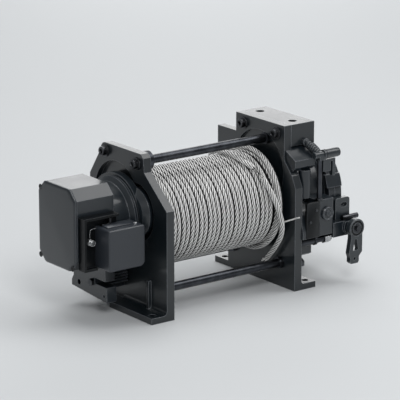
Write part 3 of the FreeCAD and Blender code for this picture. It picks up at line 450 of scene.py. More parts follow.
def surface(name: str, points: np.ndarray, closed: bool = False, uv: np.ndarray | None = None,
            crown: np.ndarray | None = None) -> bpy.types.Object:
    """Makes a mesh from a grid of points.

    Formula: corner (i, j) of the grid is points[i, j]; each cell is one quad; a closed surface
    joins its last column to its first, and has one face over its first row and one over its last.

    Args:
        name: name of the object.
        points: grid of points in metres, shape (rows along u, columns along v, 3).
        closed: whether it is closed all round.
        uv: map coordinates on a grid one larger than the cells each way, or None.
        crown: a value for each point, kept as the crown attribute, or None.

    Returns:
        The new object, linked to the scene, smooth but for its creases.
    """
    rows, columns = points.shape[:2]
    i, j = np.meshgrid(np.arange(rows - 1), np.arange(columns if closed else columns - 1), indexing="ij")
    here, below = i * columns, (i + 1) * columns
    next_j = (j + 1) % columns
    quads = np.stack([here + j, below + j, below + next_j, here + next_j], axis=-1).reshape(-1, 4)
    loops = quads.reshape(-1)
    starts = np.arange(len(quads)) * 4
    totals = np.full(len(quads), 4)
    if closed:
        first = np.arange(columns)
        last = (rows - 1) * columns + np.arange(columns)[::-1]
        starts = np.concatenate([starts, [len(loops), len(loops) + columns]])
        totals = np.concatenate([totals, [columns, columns]])
        loops = np.concatenate([loops, first, last])
    mesh = bpy.data.meshes.new(name)
    mesh.vertices.add(rows * columns)
    mesh.vertices.foreach_set("co", points.reshape(-1).astype(np.float32))
    mesh.loops.add(len(loops))
    mesh.loops.foreach_set("vertex_index", loops.astype(np.int32))
    mesh.polygons.add(len(starts))
    mesh.polygons.foreach_set("loop_start", starts.astype(np.int32))
    mesh.polygons.foreach_set("loop_total", totals.astype(np.int32))
    mesh.update(calc_edges=True)
    mesh.validate()
    if uv is not None:
        corners = np.stack([uv[i, j], uv[i + 1, j], uv[i + 1, j + 1], uv[i, j + 1]], axis=2).reshape(-1, 2)
        full = np.zeros((len(loops), 2))
        full[:len(corners)] = corners
        mesh.uv_layers.new(name="lay").data.foreach_set("uv", full.reshape(-1).astype(np.float32))
    if crown is not None:
        heights = mesh.attributes.new("crown", "FLOAT", "POINT").data
        heights.foreach_set("value", crown.reshape(-1).astype(np.float32))
    mesh.polygons.foreach_set("use_smooth", np.ones(len(starts), dtype=bool))
    mesh.set_sharp_from_angle(angle=math.radians(CREASE))
    made = bpy.data.objects.new(name, mesh)
    bpy.context.scene.collection.objects.link(made)
    return made


def basis(axis: Sequence[float]) -> tuple[np.ndarray, np.ndarray, np.ndarray]:
    """Three directions at right angles.

    Args:
        axis: the first direction, of any length.

    Returns:
        Unit vectors along the axis and in two directions across it.
    """
    along = np.asarray(axis, dtype=float)
    along = along / np.linalg.norm(along)
    helper = np.array([0.0, 0.0, 1.0]) if abs(along[2]) < 0.9 else np.array([1.0, 0.0, 0.0])
    side = np.cross(helper, along)
    side = side / np.linalg.norm(side)
    return along, side, np.cross(along, side)


def lathe(name: str, at: Sequence[float], axis: Sequence[float], profile: Sequence[tuple[float, float]],
          around: int = 32) -> bpy.types.Object:
    """Turns a profile about an axis.

    Formula: point (i, j) is at + height_i * axis + radius_i * (sin a_j * up - cos a_j * side),
    where a_j is j turns / around. The first and last ring are closed by a face.

    Args:
        name: name of the object.
        at: foot of the axis in millimetres.
        axis: direction of rising height.
        profile: (radius, height) in millimetres, from one end to the other.
        around: points round the axis.

    Returns:
        The new object.
    """
    along, side, up = basis(axis)
    radius, height = (np.array(column)[:, None, None] for column in zip(*profile))
    angle = (np.arange(around) * 2 * math.pi / around)[None, :, None]
    points = np.asarray(at) + height * along + radius * (np.sin(angle) * up - np.cos(angle) * side)
    return surface(name, points * MM, closed=True)


def frames_along(path: np.ndarray, outward: np.ndarray) -> tuple[np.ndarray, np.ndarray, np.ndarray]:
    """Directions along, out of and across a path.

    Formula: the direction is the central difference; the normal is the rough one with its
    part along the path taken off.

    Args:
        path: points in metres, shape (n, 3).
        outward: a rough normal for each point.

    Returns:
        Unit tangents, normals and binormals, each of shape (n, 3).
    """
    tangent = np.gradient(path, axis=0)
    tangent /= np.linalg.norm(tangent, axis=1)[:, None]
    normal = outward - (outward * tangent).sum(axis=1)[:, None] * tangent
    normal /= np.linalg.norm(normal, axis=1)[:, None]
    return tangent, normal, np.cross(tangent, normal)


def tube(name: str, path: np.ndarray, outward: Sequence[float] | np.ndarray, radius: float,
         around: int) -> bpy.types.Object:
    """Carries a circle along a path.

    Formula: point (i, j) is path_i + radius (cos a_j normal_i - sin a_j binormal_i).

    Args:
        name: name of the object.
        path: points in metres.
        outward: a rough normal for each point, or one for all.
        radius: radius in metres.
        around: points round the circle.

    Returns:
        The new object.
    """
    _, normal, across = frames_along(path, np.broadcast_to(outward, path.shape))
    angle = np.arange(around) * -2 * math.pi / around
    points = path[:, None, :] + radius * (np.cos(angle)[None, :, None] * normal[:, None, :]
                                          + np.sin(angle)[None, :, None] * across[:, None, :])
    return surface(name, points, closed=True)


def coil(name: str, start: Sequence[float], end: Sequence[float], radius: float, wire: float,
         turns: float) -> bpy.types.Object:
    """Winds a spring about the line between two points.

    Formula: point i is start + s_i (end - start) + radius (cos w_i side + sin w_i up), with w_i
    running through the given turns while s_i runs from 0 to 1.

    Args:
        name: name of the object.
        start: first end of the axis in millimetres.
        end: last end of the axis in millimetres.
        radius: radius of the coil's middle line in millimetres.
        wire: radius of the wire in millimetres.
        turns: number of turns.

    Returns:
        The new object.
    """
    begin = np.asarray(start, dtype=float)
    run = np.asarray(end, dtype=float) - begin
    _, side, up = basis(run)
    share = np.linspace(0.0, 1.0, int(turns * COIL_POINTS))[:, None]
    angle = share * turns * 2 * math.pi
    out = np.cos(angle) * side + np.sin(angle) * up
    return tube(name, (begin + share * run + radius * out) * MM, out, wire * MM, COIL_AROUND)


def rounded_outline(corners: np.ndarray, radius: float, steps: int = 5) -> np.ndarray:
    """Rounds the corners of a closed flat outline.

    Formula: each corner c becomes (1 - t)^2 a + 2 t (1 - t) c + t^2 b, where a and b lie the
    radius away from c towards its two neighbours.

    Args:
        corners: corners in order, shape (n, 2).
        radius: how far from each corner its round starts.
        steps: points on each round.

    Returns:
        Points of the outline, shape (n * steps, 2).
    """
    def towards(neighbour: np.ndarray) -> np.ndarray:
        """The place on the side to a neighbour where the round starts."""
        run = neighbour - corners
        return corners + run / np.linalg.norm(run, axis=1)[:, None] * radius

    t = np.linspace(0.0, 1.0, steps)[None, :, None]
    before, after = towards(np.roll(corners, 1, axis=0)), towards(np.roll(corners, -1, axis=0))
    rounds = (1 - t) ** 2 * before[:, None] + 2 * t * (1 - t) * corners[:, None] + t ** 2 * after[:, None]
    return rounds.reshape(-1, 2)


def plate(name: str, corners: Sequence[tuple[float, float]], axis: int,
          levels: Sequence[tuple[float, float]], round_off: float) -> bpy.types.Object:
    """Carries a rounded outline along an axis, drawn in or out at each level.

    Formula: ring i is the outline with each corner moved inset_i towards the middle on both of
    its axes, at height_i along the third axis; both ends are closed.

    Args:
        name: name of the object.
        corners: outline in millimetres, in the two axes that follow the given one in order.
        axis: 0, 1 or 2 for X, Y or Z.
        levels: (inset, height) in millimetres, in rising height.
        round_off: how far from each corner its round starts.

    Returns:
        The new object.
    """
    outline = np.array(corners, dtype=float)
    side = np.sign(outline - outline.mean(axis=0))
    rings = np.stack([rounded_outline(outline - inset * side, round_off) for inset, _ in levels])
    height = np.array([level for _, level in levels])[:, None].repeat(rings.shape[1], axis=1)
    columns = {axis: height, (axis + 1) % 3: rings[..., 0], (axis + 2) % 3: rings[..., 1]}
    points = np.stack([columns[k] for k in range(3)], axis=-1)
    return surface(name, points[:, ::-1] * MM, closed=True)


def rectangle(low: Sequence[float], high: Sequence[float]) -> list[tuple[float, float]]:
    """Corners of a rectangle, anticlockwise."""
    return [(low[0], low[1]), (high[0], low[1]), (high[0], high[1]), (low[0], high[1])]


@dataclass
class RopeMake:
    """Make of the rope: strands laid round each other, right-handed."""

    diameter: float = 8.0
    strands: int = 6
    lay: float = 50.0
    lobe: tuple[float, ...] = (-30.0, -24.0, -12.0, 0.0, 12.0, 24.0)
    slim: float = 0.94
    # Where the painted shade on the sides of packed turns begins, and how far it runs.
    hidden: float = 0.20
    fade: float = 0.50

    def section(self) -> tuple[np.ndarray, np.ndarray]:
        """Angles and radii of the rope's outline.

        Formula: each strand is a circle of radius s, a little less than diameter / 6, whose centre
        stands c = diameter / 2 - s from the middle, so at an angle a from its centre the outline
        stands c cos a + sqrt(s^2 - c^2 sin^2 a) from the middle.

        Returns:
            Angles in radians and radii in millimetres.
        """
        strand = self.slim * self.diameter / 6
        centre = self.diameter / 2 - strand
        local = np.radians(np.array(self.lobe))
        reach = np.sqrt(np.maximum(strand ** 2 - (centre * np.sin(local)) ** 2, 0.0))
        radius = centre * np.cos(local) + reach
        lobes = np.arange(self.strands)[:, None] * 2 * math.pi / self.strands
        return (lobes + local[None, :]).reshape(-1), np.tile(radius, self.strands)

    def sweep(self, name: str, path: np.ndarray, outward: np.ndarray, lay_start: float = 0.0,
              packed: bool = False) -> bpy.types.Object:
        """Carries the rope's outline along a path.

        Formula: point (i, j) is path_i + r_j (cos(a_j + w_i) normal_i + sin(a_j + w_i) binormal_i),
        where w_i is one turn for each lay length along the path. A packed rope's crown fades
        with the cosine of the angle from the outward side, which paints shade into the sides
        of turns that lie against each other.

        Args:
            name: name of the object.
            path: points in metres.
            outward: a rough normal for each point.
            lay_start: distance in metres that the lay has run before the first point.
            packed: whether turns lie against each other, so that shade is painted dark into their sides.

        Returns:
            The new object with its crown attribute and lay map.
        """
        angle, radius = self.section()
        _, normal, across = frames_along(path, outward)
        run = np.concatenate([[0.0], np.cumsum(np.linalg.norm(np.diff(path, axis=0), axis=1))]) + lay_start
        twist = run * 2 * math.pi / (self.lay * MM)
        turn = angle[None, :] + twist[:, None]
        reach = radius[None, :] * MM
        points = (path[:, None, :] + (reach * np.cos(turn))[:, :, None] * normal[:, None, :]
                  + (reach * np.sin(turn))[:, :, None] * across[:, None, :])
        # The crown is 0 in the valleys between strands and 1 on their tops; the rope's material paints the
        # valleys dark as shade.
        crown = np.tile((radius - radius.min()) / (radius.max() - radius.min()), (len(path), 1))
        # Painted shade: on packed turns the crown falls to nothing towards the sides that lie against their
        # neighbours.
        if packed:
            crown = crown * np.clip((np.cos(turn) - self.hidden) / self.fade, 0.0, 1.0)
        round_once = np.append(angle, angle[0] + 2 * math.pi)
        uv = np.stack([np.tile(run[:, None], (1, len(round_once))),
                       (round_once[None, :] + twist[:, None]) / (2 * math.pi)], axis=-1)
        return surface(name, points[:, ::-1], closed=True, uv=uv[:, ::-1], crown=crown[:, ::-1])


# Sub-assemblies

@dataclass
class WoundRope:
    """The rope on the drum: one close layer, a loose last turn above it, and the loose end.

    The last turn is rows of (turns round the drum, place along it, distance from its axis).
    """

    palette: Palette
    make: RopeMake = field(default_factory=RopeMake)
    axis_y: float = 90.0
    axis_z: float = 136.0
    layer_radius: float = 73.0
    step: float = 2.3
    end: float = 108.4
    raised_wide: float = 12.0
    groups: tuple[int, ...] = (3, 2, 2, 2, 3, 3, 3, 3, 3)
    pitch: float = 8.03
    last_shift: float = 1.5
    under_core: float = 47.0
    under_radius: float = 69.0
    under_points: int = 170
    last_turn: tuple[tuple[float, float, float], ...] = (
        (-0.05, 104.2, 73.0), (0.10, 104.2, 77.5), (0.30, 104.2, 81.6), (0.90, 104.0, 81.6),
        (1.00, 100.0, 81.4), (1.12, 72.0, 81.3), (1.20, 56.0, 81.3), (1.27, 57.0, 81.3),
        (1.3264, 64.0, 81.5), (1.361, 73.5, 82.8))
    last_points: int = 260
    blur: int = 9
    route: tuple[tuple[float, float, float], ...] = (
        (80.5, -67.5, 50.0), (88.0, -82.5, 26.0), (94.3, -92.8, -1.0),
        (104.3, -90.5, -31.0), (108.6, -75.5, -60.0), (106.3, -47.5, -92.0))
    tail_length: float = 164.9
    tail_step: float = 1.6
    frays: int = 5
    fray_points: int = 10
    fray_turn: float = 0.4
    fray_start: float = -2.0
    fray_long: float = 11.0
    fray_shortest: float = 0.7
    fray_longer: float = 0.08
    fray_radius: float = 1.1
    fray_out: float = 1.8
    fray_bend: float = 32.0
    stray_radius: float = 1.2
    stray: tuple[tuple[float, float, float], ...] = (
        (104.0, 3.0, 112.0), (107.0, -1.0, 114.0), (110.5, -7.0, 117.0), (112.6, -13.0, 119.5),
        (115.0, -20.0, 123.0), (116.6, -26.0, 125.0))

    def turn_places(self) -> np.ndarray:
        """Where each turn lies along the drum: close within a group, with a gap between groups.

        Returns:
            Places in millimetres.
        """
        share = (2 * self.end - self.raised_wide) / sum(self.groups)
        places: list[float] = []
        low = -self.end
        for count in self.groups:
            middle = low + count * share / 2
            places += [middle + (k - (count - 1) / 2) * self.pitch for k in range(count)]
            low += count * share
        return np.array(places + [self.end - self.raised_wide / 2 + self.last_shift])

    def tail_route(self) -> np.ndarray:
        """The loose end's control points in metres, from their places about the drum's axis."""
        return (np.array(self.route) + np.array([0.0, self.axis_y, self.axis_z])) * MM

    def on_drum(self, angle: np.ndarray, along: np.ndarray,
                radius: np.ndarray) -> tuple[np.ndarray, np.ndarray]:
        """Points round the drum and their outward directions.

        Formula: x is the place along the drum; y and z are the axis plus radius times the cosine
        and sine of the angle, so the rope comes over the top from the back to the front.

        Args:
            angle: angles in radians.
            along: places along the drum in millimetres.
            radius: distances from the drum's axis in millimetres.

        Returns:
            Points in metres and unit outward vectors.
        """
        out = np.stack([np.zeros_like(angle), np.cos(angle), np.sin(angle)], axis=-1)
        points = out * np.asarray(radius)[:, None]
        points[:, 0] += along
        points[:, 1] += self.axis_y
        points[:, 2] += self.axis_z
        return points * MM, out

    def build_layer(self) -> list[bpy.types.Object]:
        """The close layer, in two pieces that meet at the middle turn.

        Returns:
            The two pieces.
        """
        places = self.turn_places()
        turns = len(places)
        half = turns // 2
        made = []
        for name, first, last in (("rope_turns_left", 0, half), ("rope_turns_right", half, turns)):
            around = int((last - first) * 2 * math.pi * self.layer_radius / self.step)
            turn = np.linspace(first, last, around)
            along = np.interp(turn, np.arange(turns) + 0.5, places)
            path, out = self.on_drum(turn * 2 * math.pi, along, np.full(around, self.layer_radius))
            start = first * 2 * math.pi * self.layer_radius * MM
            made.append(self.make.sweep(name, path, out, start, packed=True))
        return made

    def build_under(self) -> bpy.types.Object:
        """The layer below, a dark floor seen only between the turns, where it paints their shade.

        Formula: a sleeve whose radius swings by 1 mm, once for each turn.

        Returns:
            The sleeve.
        """
        x = np.linspace(-self.end, self.end, self.under_points)
        radius = self.under_radius + np.cos((x - x[0]) * 2 * math.pi / self.pitch)
        profile = [(self.under_core, x[0])] + list(zip(radius, x)) + [(self.under_core, x[-1])]
        return lathe("rope_lower_layer", (0.0, self.axis_y, self.axis_z), (1, 0, 0), profile, 72)

    def spline(self, name: str, points: np.ndarray) -> bpy.types.Object:
        """A smooth curve led by a route's control points.

        Args:
            name: name of the object.
            points: control points in metres.

        Returns:
            The curve object.
        """
        curve = bpy.data.curves.new(name, "CURVE")
        curve.dimensions = "3D"
        curve.resolution_u = 12
        line = curve.splines.new("NURBS")
        line.points.add(len(points) - 1)
        for point, place in zip(line.points, points):
            point.co = (*place, 1.0)
        line.order_u = 3
        line.use_endpoint_u = True
        made = bpy.data.objects.new(name, curve)
        bpy.context.scene.collection.objects.link(made)
        return made

    def read_line(self, curve: bpy.types.Object, step: float) -> np.ndarray:
        """Evenly spaced points along a curve.

        Args:
            curve: the curve object.
            step: distance between the points in millimetres.

        Returns:
            Points in metres, shape (n, 3).
        """
        depsgraph = bpy.context.evaluated_depsgraph_get()
        mesh = bpy.data.meshes.new_from_object(curve.evaluated_get(depsgraph))
        points = np.array([v.co[:] for v in mesh.vertices])
        bpy.data.meshes.remove(mesh)
        run = np.concatenate([[0.0], np.cumsum(np.linalg.norm(np.diff(points, axis=0), axis=1))])
        even = np.linspace(0.0, run[-1], int(run[-1] / (step * MM)))
        return np.stack([np.interp(even, run, points[:, k]) for k in range(3)], axis=-1)

    def build_last_turn(self) -> bpy.types.Object:
        """The turn above the layer: it climbs at the gear side, goes once round and crosses over.

        Formula: the place along the drum stays by the flange for one turn, then moves left behind
        the drum and right again over its top, with the radius held above the close layer; both
        are straight between the rows and then averaged over a few points.

        Returns:
            The turn.
        """
        turn, along, radius = (np.array(column) for column in zip(*self.last_turn))
        fine = np.linspace(turn[0], turn[-1], self.last_points)
        smooth, edge = np.ones(self.blur) / self.blur, self.blur // 2
        x = np.interp(fine, turn, along)
        r = np.interp(fine, turn, radius)
        x[edge:-edge] = np.convolve(x, smooth, mode="valid")
        r[edge:-edge] = np.convolve(r, smooth, mode="valid")
        path, out = self.on_drum(fine * 2 * math.pi, x, r)
        path = np.concatenate([path, self.tail_route()[:1]])
        out = np.concatenate([out, out[-1:]])
        return self.make.sweep("rope_last_turn", path, out)

    def build_tail(self) -> bpy.types.Object:
        """The loose end, on its own smooth line.

        Returns:
            The loose end.
        """
        curve = self.spline("rope_tail_line", self.tail_route())
        line = self.read_line(curve, self.tail_step)
        bpy.data.objects.remove(curve)
        away = line - np.array([0.0, self.axis_y, self.axis_z]) * MM
        away[:, 0] = 0.0
        self.tail_line = line
        return self.make.sweep("rope_tail_strands", line, away / np.linalg.norm(away, axis=1)[:, None])

    def build_fray(self) -> list[bpy.types.Object]:
        """Strands that spread from the cut end, and one that has sprung out of the tail.

        Formula: strand k leaves the end along its direction and bends aside by the square of the
        distance run, each in its own direction about the rope.

        Returns:
            The strands.
        """
        end, way = self.tail_line[-1], self.tail_line[-1] - self.tail_line[-6]
        along, side, up = basis(way)
        run = np.linspace(self.fray_start * MM, self.fray_long * MM, self.fray_points)[:, None]
        made = []
        for number in range(self.frays):
            angle = number * 2 * math.pi / self.frays + self.fray_turn
            aside = math.cos(angle) * side + math.sin(angle) * up
            share = self.fray_shortest + self.fray_longer * number
            straight = end + aside * self.fray_out * MM + run * along * share
            path = straight + aside * self.fray_bend * np.maximum(run, 0.0) ** 2
            made.append(tube("rope_fray_%d" % (number + 1), path, aside, self.fray_radius * MM, WIRE_AROUND))
        stray = np.array(self.stray) * MM
        outward, radius = (0.0, -0.3, 1.0), self.stray_radius * MM
        made.append(tube("rope_stray_strand", stray, outward, radius, WIRE_AROUND))
        return made

    def build(self) -> None:
        """Builds the rope and hands it to the drum."""
        layer = self.build_layer()
        under = self.build_under()
        last = self.build_last_turn()
        tail = self.build_tail()
        fray = self.build_fray()
        for piece in layer:
            self.palette.hand_over(piece, Finish.ROPE, DRUM_BODY, "rope_winding")
        self.palette.hand_over(under, Finish.UNDER, DRUM_BODY, "rope_winding")
        self.palette.hand_over(last, Finish.ROPE, DRUM_BODY)
        self.palette.hand_over(tail, Finish.ROPE, DRUM_BODY, "rope_tail")
        for piece in fray:
            self.palette.hand_over(piece, Finish.WIRE, DRUM_BODY)


@dataclass
class Castings:
    """Finishes of the CAD's own castings, tie bars, screws and linkage, also of those replaced."""

    palette: Palette
    finishes: tuple[tuple[Finish, tuple[str, ...]], ...] = (
        (Finish.PLATE, ("left_end_plate", "right_end_plate", "top_mount_block")),
        (Finish.HOUSING, ("motor_housing", "motor_end_cover", "gear_bulge", "motor_bracket", "gearbox_case",
                          "gearbox_end_cap", "clutch_box", "clutch_dial", "clutch_ear", "ear_boss",
                          "clutch_saddle", "crank_housing")),
        (Finish.DARK, ("drum_barrel", "terminal_tray")),
        (Finish.LID, ("terminal_lid",)),
        (Finish.LEVER, ("crank_lever", "clutch_grip", "clutch_fork", "spring_link", "crank_lug")),
        (Finish.BAR, ("upper_tie_bar", "lower_front_tie_bar", "lower_rear_tie_bar", "front_rod",
                      "drain_fitting")),
        (Finish.SCREW, ("block_screws", "left_plate_screws", "right_plate_screw", "bracket_bolt",
                        "crank_bolt", "stop_pin", "cable_clip")),
        (Finish.PLATED, ("terminal_post", "fitting_nut")),
        (Finish.UNDER, ("rope_winding", "rope_tail")),
    )

    def build(self) -> None:
        """Dresses the CAD nodes."""
        for finish, nodes in self.finishes:
            self.palette.dress(finish, *nodes)
            LOG.info("finish %s on %d nodes", finish.value.name, len(nodes))


@dataclass
class PlateFittings:
    """Socket-head screws with washers on the plates, in place of their plain CAD heads.

    The profile is (radius, height) and the places are (Y, Z), in millimetres.
    """

    palette: Palette
    profile: tuple[tuple[float, float], ...] = (
        (9.9, 0.0), (9.9, 1.5), (9.3, 2.0), (7.3, 2.0), (7.2, 8.1), (6.5, 8.9), (4.1, 8.9), (3.7, 8.4),
        (3.6, 5.0), (0.5, 4.8))
    left_face: float = -132.0
    block_face: float = 118.0
    left_places: tuple[tuple[float, float], ...] = ((64.0, 233.0), (146.5, 237.0))
    block_places: tuple[tuple[float, float], ...] = ((35.0, 249.5), (119.0, 249.5))

    def build(self) -> None:
        """Builds both sets of screws."""
        for node, face, places in (("left_plate_screws", self.left_face, self.left_places),
                                   ("block_screws", self.block_face, self.block_places)):
            for number, (y, z) in enumerate(places, start=1):
                screw = lathe("%s_socket_%d" % (node, number), (face, y, z), (-1, 0, 0), self.profile, 36)
                self.palette.hand_over(screw, Finish.SCREW, instead=node)


@dataclass
class MotorFittings:
    """The motor's cover with its seam and screws, and the small parts of the terminal box.

    Profiles are (radius, height) and levels are (inset, height), in millimetres.
    """

    palette: Palette
    middle: tuple[float, float] = (106.5, 145.0)
    half_deep: float = 49.5
    half_high: float = 64.5
    bevel: float = 16.0
    corner_round: float = 3.0
    seam_levels: tuple[tuple[float, float], ...] = ((1.4, -248.2), (1.2, -247.0))
    cover_levels: tuple[tuple[float, float], ...] = (
        (4.0, -251.85), (2.0, -251.6), (0.7, -250.9), (0.0, -249.9), (0.0, -248.4), (0.6, -248.0))
    screw_face: float = -251.3
    screw_places: tuple[tuple[float, float], ...] = (
        (149.0, 198.0), (70.0, 199.0), (65.0, 87.0), (151.0, 90.0))
    screw_profile: tuple[tuple[float, float], ...] = (
        (4.4, 0.0), (4.4, 0.55), (3.2, 0.6), (3.1, 0.1), (1.6, 0.1), (0.4, 0.1))
    pad_low: tuple[float, float] = (-214.0, 24.0)
    pad_high: tuple[float, float] = (-170.0, 44.0)
    pad_levels: tuple[tuple[float, float], ...] = ((0.0, 152.6), (0.0, 154.2), (0.8, 154.9))
    lid_screws: tuple[tuple[float, float], ...] = ((-156.5, 61.0), (-163.0, 25.0))
    lid_screw_profile: tuple[tuple[float, float], ...] = (
        (3.2, -0.3), (3.2, 0.9), (2.6, 1.5), (1.4, 1.5), (1.2, 0.8), (0.3, 0.8))
    lid_top: float = 153.0
    spring_from: tuple[float, float, float] = (-232.0, 46.5, 130.0)
    spring_to: tuple[float, float, float] = (-232.0, 36.5, 130.0)
    spring_radius: float = 4.2
    spring_wire: float = 0.8
    spring_turns: float = 4.5
    lead_route: tuple[tuple[float, float, float], ...] = (
        (-232.0, 46.0, 134.0), (-232.6, 45.5, 142.0), (-232.0, 45.0, 149.0), (-228.0, 44.5, 150.5),
        (-222.0, 44.5, 151.0))
    lead_radius: float = 0.7
    fin_low: tuple[float, float] = (-173.0, 86.0)
    fin_high: tuple[float, float] = (-133.0, 104.0)
    fin_heights: tuple[float, ...] = (42.0, 46.5, 51.0, 55.5)
    fin_levels: tuple[tuple[float, float], ...] = ((0.5, -1.0), (0.0, -0.5), (0.0, 0.5), (0.5, 1.0))
    core_low: tuple[float, float] = (-170.0, 94.0)
    core_high: tuple[float, float] = (-133.0, 112.0)
    core_levels: tuple[tuple[float, float], ...] = ((0.0, 40.0), (0.0, 78.0))

    def octagon(self) -> list[tuple[float, float]]:
        """Corners of the motor's bevelled outline.

        Returns:
            Eight corners in Y and Z, anticlockwise.
        """
        y, z = self.middle
        a, b = self.half_deep, self.half_high
        return [(y - a, z - b + self.bevel), (y - a + self.bevel, z - b), (y + a - self.bevel, z - b),
                (y + a, z - b + self.bevel), (y + a, z + b - self.bevel), (y + a - self.bevel, z + b),
                (y - a + self.bevel, z + b), (y - a, z + b - self.bevel)]

    def build_cover(self) -> None:
        """The end cover with rounded edges, a dark seam behind it and four sunk screws."""
        node = "motor_end_cover"
        cover = plate("motor_cover_shell", self.octagon(), 0, self.cover_levels, self.corner_round)
        self.palette.hand_over(cover, Finish.HOUSING, instead=node)
        seam = plate("motor_cover_seam", self.octagon(), 0, self.seam_levels, self.corner_round)
        self.palette.hand_over(seam, Finish.DARK, instead=node)
        for number, (y, z) in enumerate(self.screw_places, start=1):
            at = (self.screw_face, y, z)
            screw = lathe("motor_cover_screw_%d" % number, at, (-1, 0, 0), self.screw_profile, 28)
            self.palette.hand_over(screw, Finish.DARK, instead=node)

    def build_lid_details(self) -> None:
        """Raised pad and small screws on the lid, coil and bent wire at the stud."""
        pad = plate("terminal_lid_pad", rectangle(self.pad_low, self.pad_high), 2, self.pad_levels, 3.0)
        self.palette.hand_over(pad, Finish.LID)
        for number, (x, y) in enumerate(self.lid_screws, start=1):
            at = (x, y, self.lid_top)
            screw = lathe("terminal_lid_screw_%d" % number, at, (0, 0, 1), self.lid_screw_profile, 24)
            self.palette.hand_over(screw, Finish.PLATED)
        spring = coil("terminal_spring", self.spring_from, self.spring_to, self.spring_radius,
                      self.spring_wire, self.spring_turns)
        self.palette.hand_over(spring, Finish.PLATED)
        route = np.array(self.lead_route) * MM
        lead = tube("terminal_lead", route, (0.0, -1.0, 0.3), self.lead_radius * MM, WIRE_AROUND)
        self.palette.hand_over(lead, Finish.PLATED)

    def build_fins(self) -> None:
        """Thin level fins on the bracket's beam, below the lid, with a black core behind them as painted
        shade between the fins.
        """
        for number, z in enumerate(self.fin_heights, start=1):
            levels = [(inset, z + rise) for inset, rise in self.fin_levels]
            fin = plate("bracket_fin_%d" % number, rectangle(self.fin_low, self.fin_high), 2, levels, 2.0)
            self.palette.hand_over(fin, Finish.HOUSING)
        core = plate("bracket_fin_core", rectangle(self.core_low, self.core_high), 2, self.core_levels, 3.0)
        self.palette.hand_over(core, Finish.DARK)

    def build(self) -> None:
        """Builds the cover, the terminal box's details and the fins."""
        self.build_cover()
        self.build_lid_details()
        self.build_fins()


@dataclass
class LinkageFittings:
    """Spring, cover, collar and rings of the clutch linkage and the crank.

    Profiles are (radius, height) and levels are (inset, height), in millimetres; those of the
    rings start from each ring's own radius.
    """

    palette: Palette
    link_from: tuple[float, float, float] = (159.8, 8.3, 231.2)
    link_to: tuple[float, float, float] = (164.8, -9.4, 218.9)
    link_radius: float = 4.5
    link_wire: float = 1.5
    link_turns: float = 5.5
    dial_at: tuple[float, float, float] = (183.0, -16.0, 118.0)
    dial_profile: tuple[tuple[float, float], ...] = (
        (10.9, 0.0), (10.9, 0.9), (10.2, 1.6), (9.2, 1.6), (8.4, 0.5), (4.6, 0.3), (4.2, 1.9), (3.4, 2.4),
        (0.5, 2.4))
    side_low: tuple[float, float] = (83.5, 138.5)
    side_high: tuple[float, float] = (141.5, 165.6)
    side_levels: tuple[tuple[float, float], ...] = ((0.7, -17.7), (0.0, -17.0), (0.0, -13.6))
    side_face: float = -17.7
    side_screws: tuple[tuple[float, float], ...] = ((146.0, 110.0), (158.0, 128.0))
    side_screw_profile: tuple[tuple[float, float], ...] = (
        (2.6, 0.0), (2.5, 0.9), (1.9, 1.3), (0.9, 1.3), (0.3, 0.9))
    collar_at: tuple[float, float, float] = (168.0, -11.5, 142.0)
    collar_profile: tuple[tuple[float, float], ...] = ((6.2, 0.0), (6.2, 2.6), (5.4, 3.4), (4.0, 3.4))
    crank_at: tuple[float, float, float] = (230.0, -32.5, 89.5)
    groove_profile: tuple[tuple[float, float], ...] = ((12.4, -0.2), (12.4, 0.12), (9.0, 0.12), (9.0, -0.2))
    crank_rings: tuple[tuple[str, float], ...] = (("crank_outer_ring", 13.2), ("crank_inner_ring", 8.4))
    crank_ring_profile: tuple[tuple[float, float], ...] = ((0.8, 0.0), (0.5, 0.7), (-0.3, 0.9), (-0.8, 0.0))
    pin_y: float = -13.5
    pin_z: float = 216.0
    pin_rings: tuple[tuple[float, float], ...] = ((174.5, 5.9), (177.0, 7.9), (203.0, 6.9))
    pin_ring_profile: tuple[tuple[float, float], ...] = ((-0.8, -1.0), (0.0, -0.6), (0.0, 0.6), (-0.8, 1.0))

    def build_clutch(self) -> None:
        """Builds the link's spring, the dial's ring, the side cover and the rod's collar."""
        spring = coil("link_spring", self.link_from, self.link_to, self.link_radius, self.link_wire,
                      self.link_turns)
        self.palette.hand_over(spring, Finish.LEVER, slot="dark_steel")
        dial = lathe("clutch_dial_ring", self.dial_at, (0, -1, 0), self.dial_profile, 40)
        self.palette.hand_over(dial, Finish.HOUSING)
        outline = rectangle(self.side_low, self.side_high)
        side = plate("clutch_side_cover", outline, 1, self.side_levels, 2.5)
        self.palette.hand_over(side, Finish.DARK)
        for number, (x, z) in enumerate(self.side_screws, start=1):
            at = (x, self.side_face, z)
            screw = lathe("clutch_side_screw_%d" % number, at, (0, -1, 0), self.side_screw_profile, 20)
            self.palette.hand_over(screw, Finish.SCREW)
        collar = lathe("front_rod_collar", self.collar_at, (0, 0, 1), self.collar_profile, 28)
        self.palette.hand_over(collar, Finish.SCREW)

    def build_crank(self) -> None:
        """Builds a thin black ring of painted shade that stands for the groove, and the two rings on the
        crank's disc.
        """
        groove = lathe("crank_ring_groove", self.crank_at, (0, -1, 0), self.groove_profile, 40)
        self.palette.hand_over(groove, Finish.DARK, CRANK_BODY)
        for name, radius in self.crank_rings:
            profile = [(radius + more, height) for more, height in self.crank_ring_profile]
            ring = lathe(name, self.crank_at, (0, -1, 0), profile, 40)
            self.palette.hand_over(ring, Finish.LEVER, CRANK_BODY, slot="dark_steel")

    def build_pin_rings(self) -> None:
        """Builds the rings on the cross pin of the fork and the grip."""
        for number, (x, radius) in enumerate(self.pin_rings, start=1):
            profile = [(radius + more, height) for more, height in self.pin_ring_profile]
            ring = lathe("linkage_ring_%d" % number, (x, self.pin_y, self.pin_z), (1, 0, 0), profile, 32)
            self.palette.hand_over(ring, Finish.SCREW)

    def build(self) -> None:
        """Builds the clutch's, the crank's and the pin's fittings."""
        self.build_clutch()
        self.build_crank()
        self.build_pin_rings()


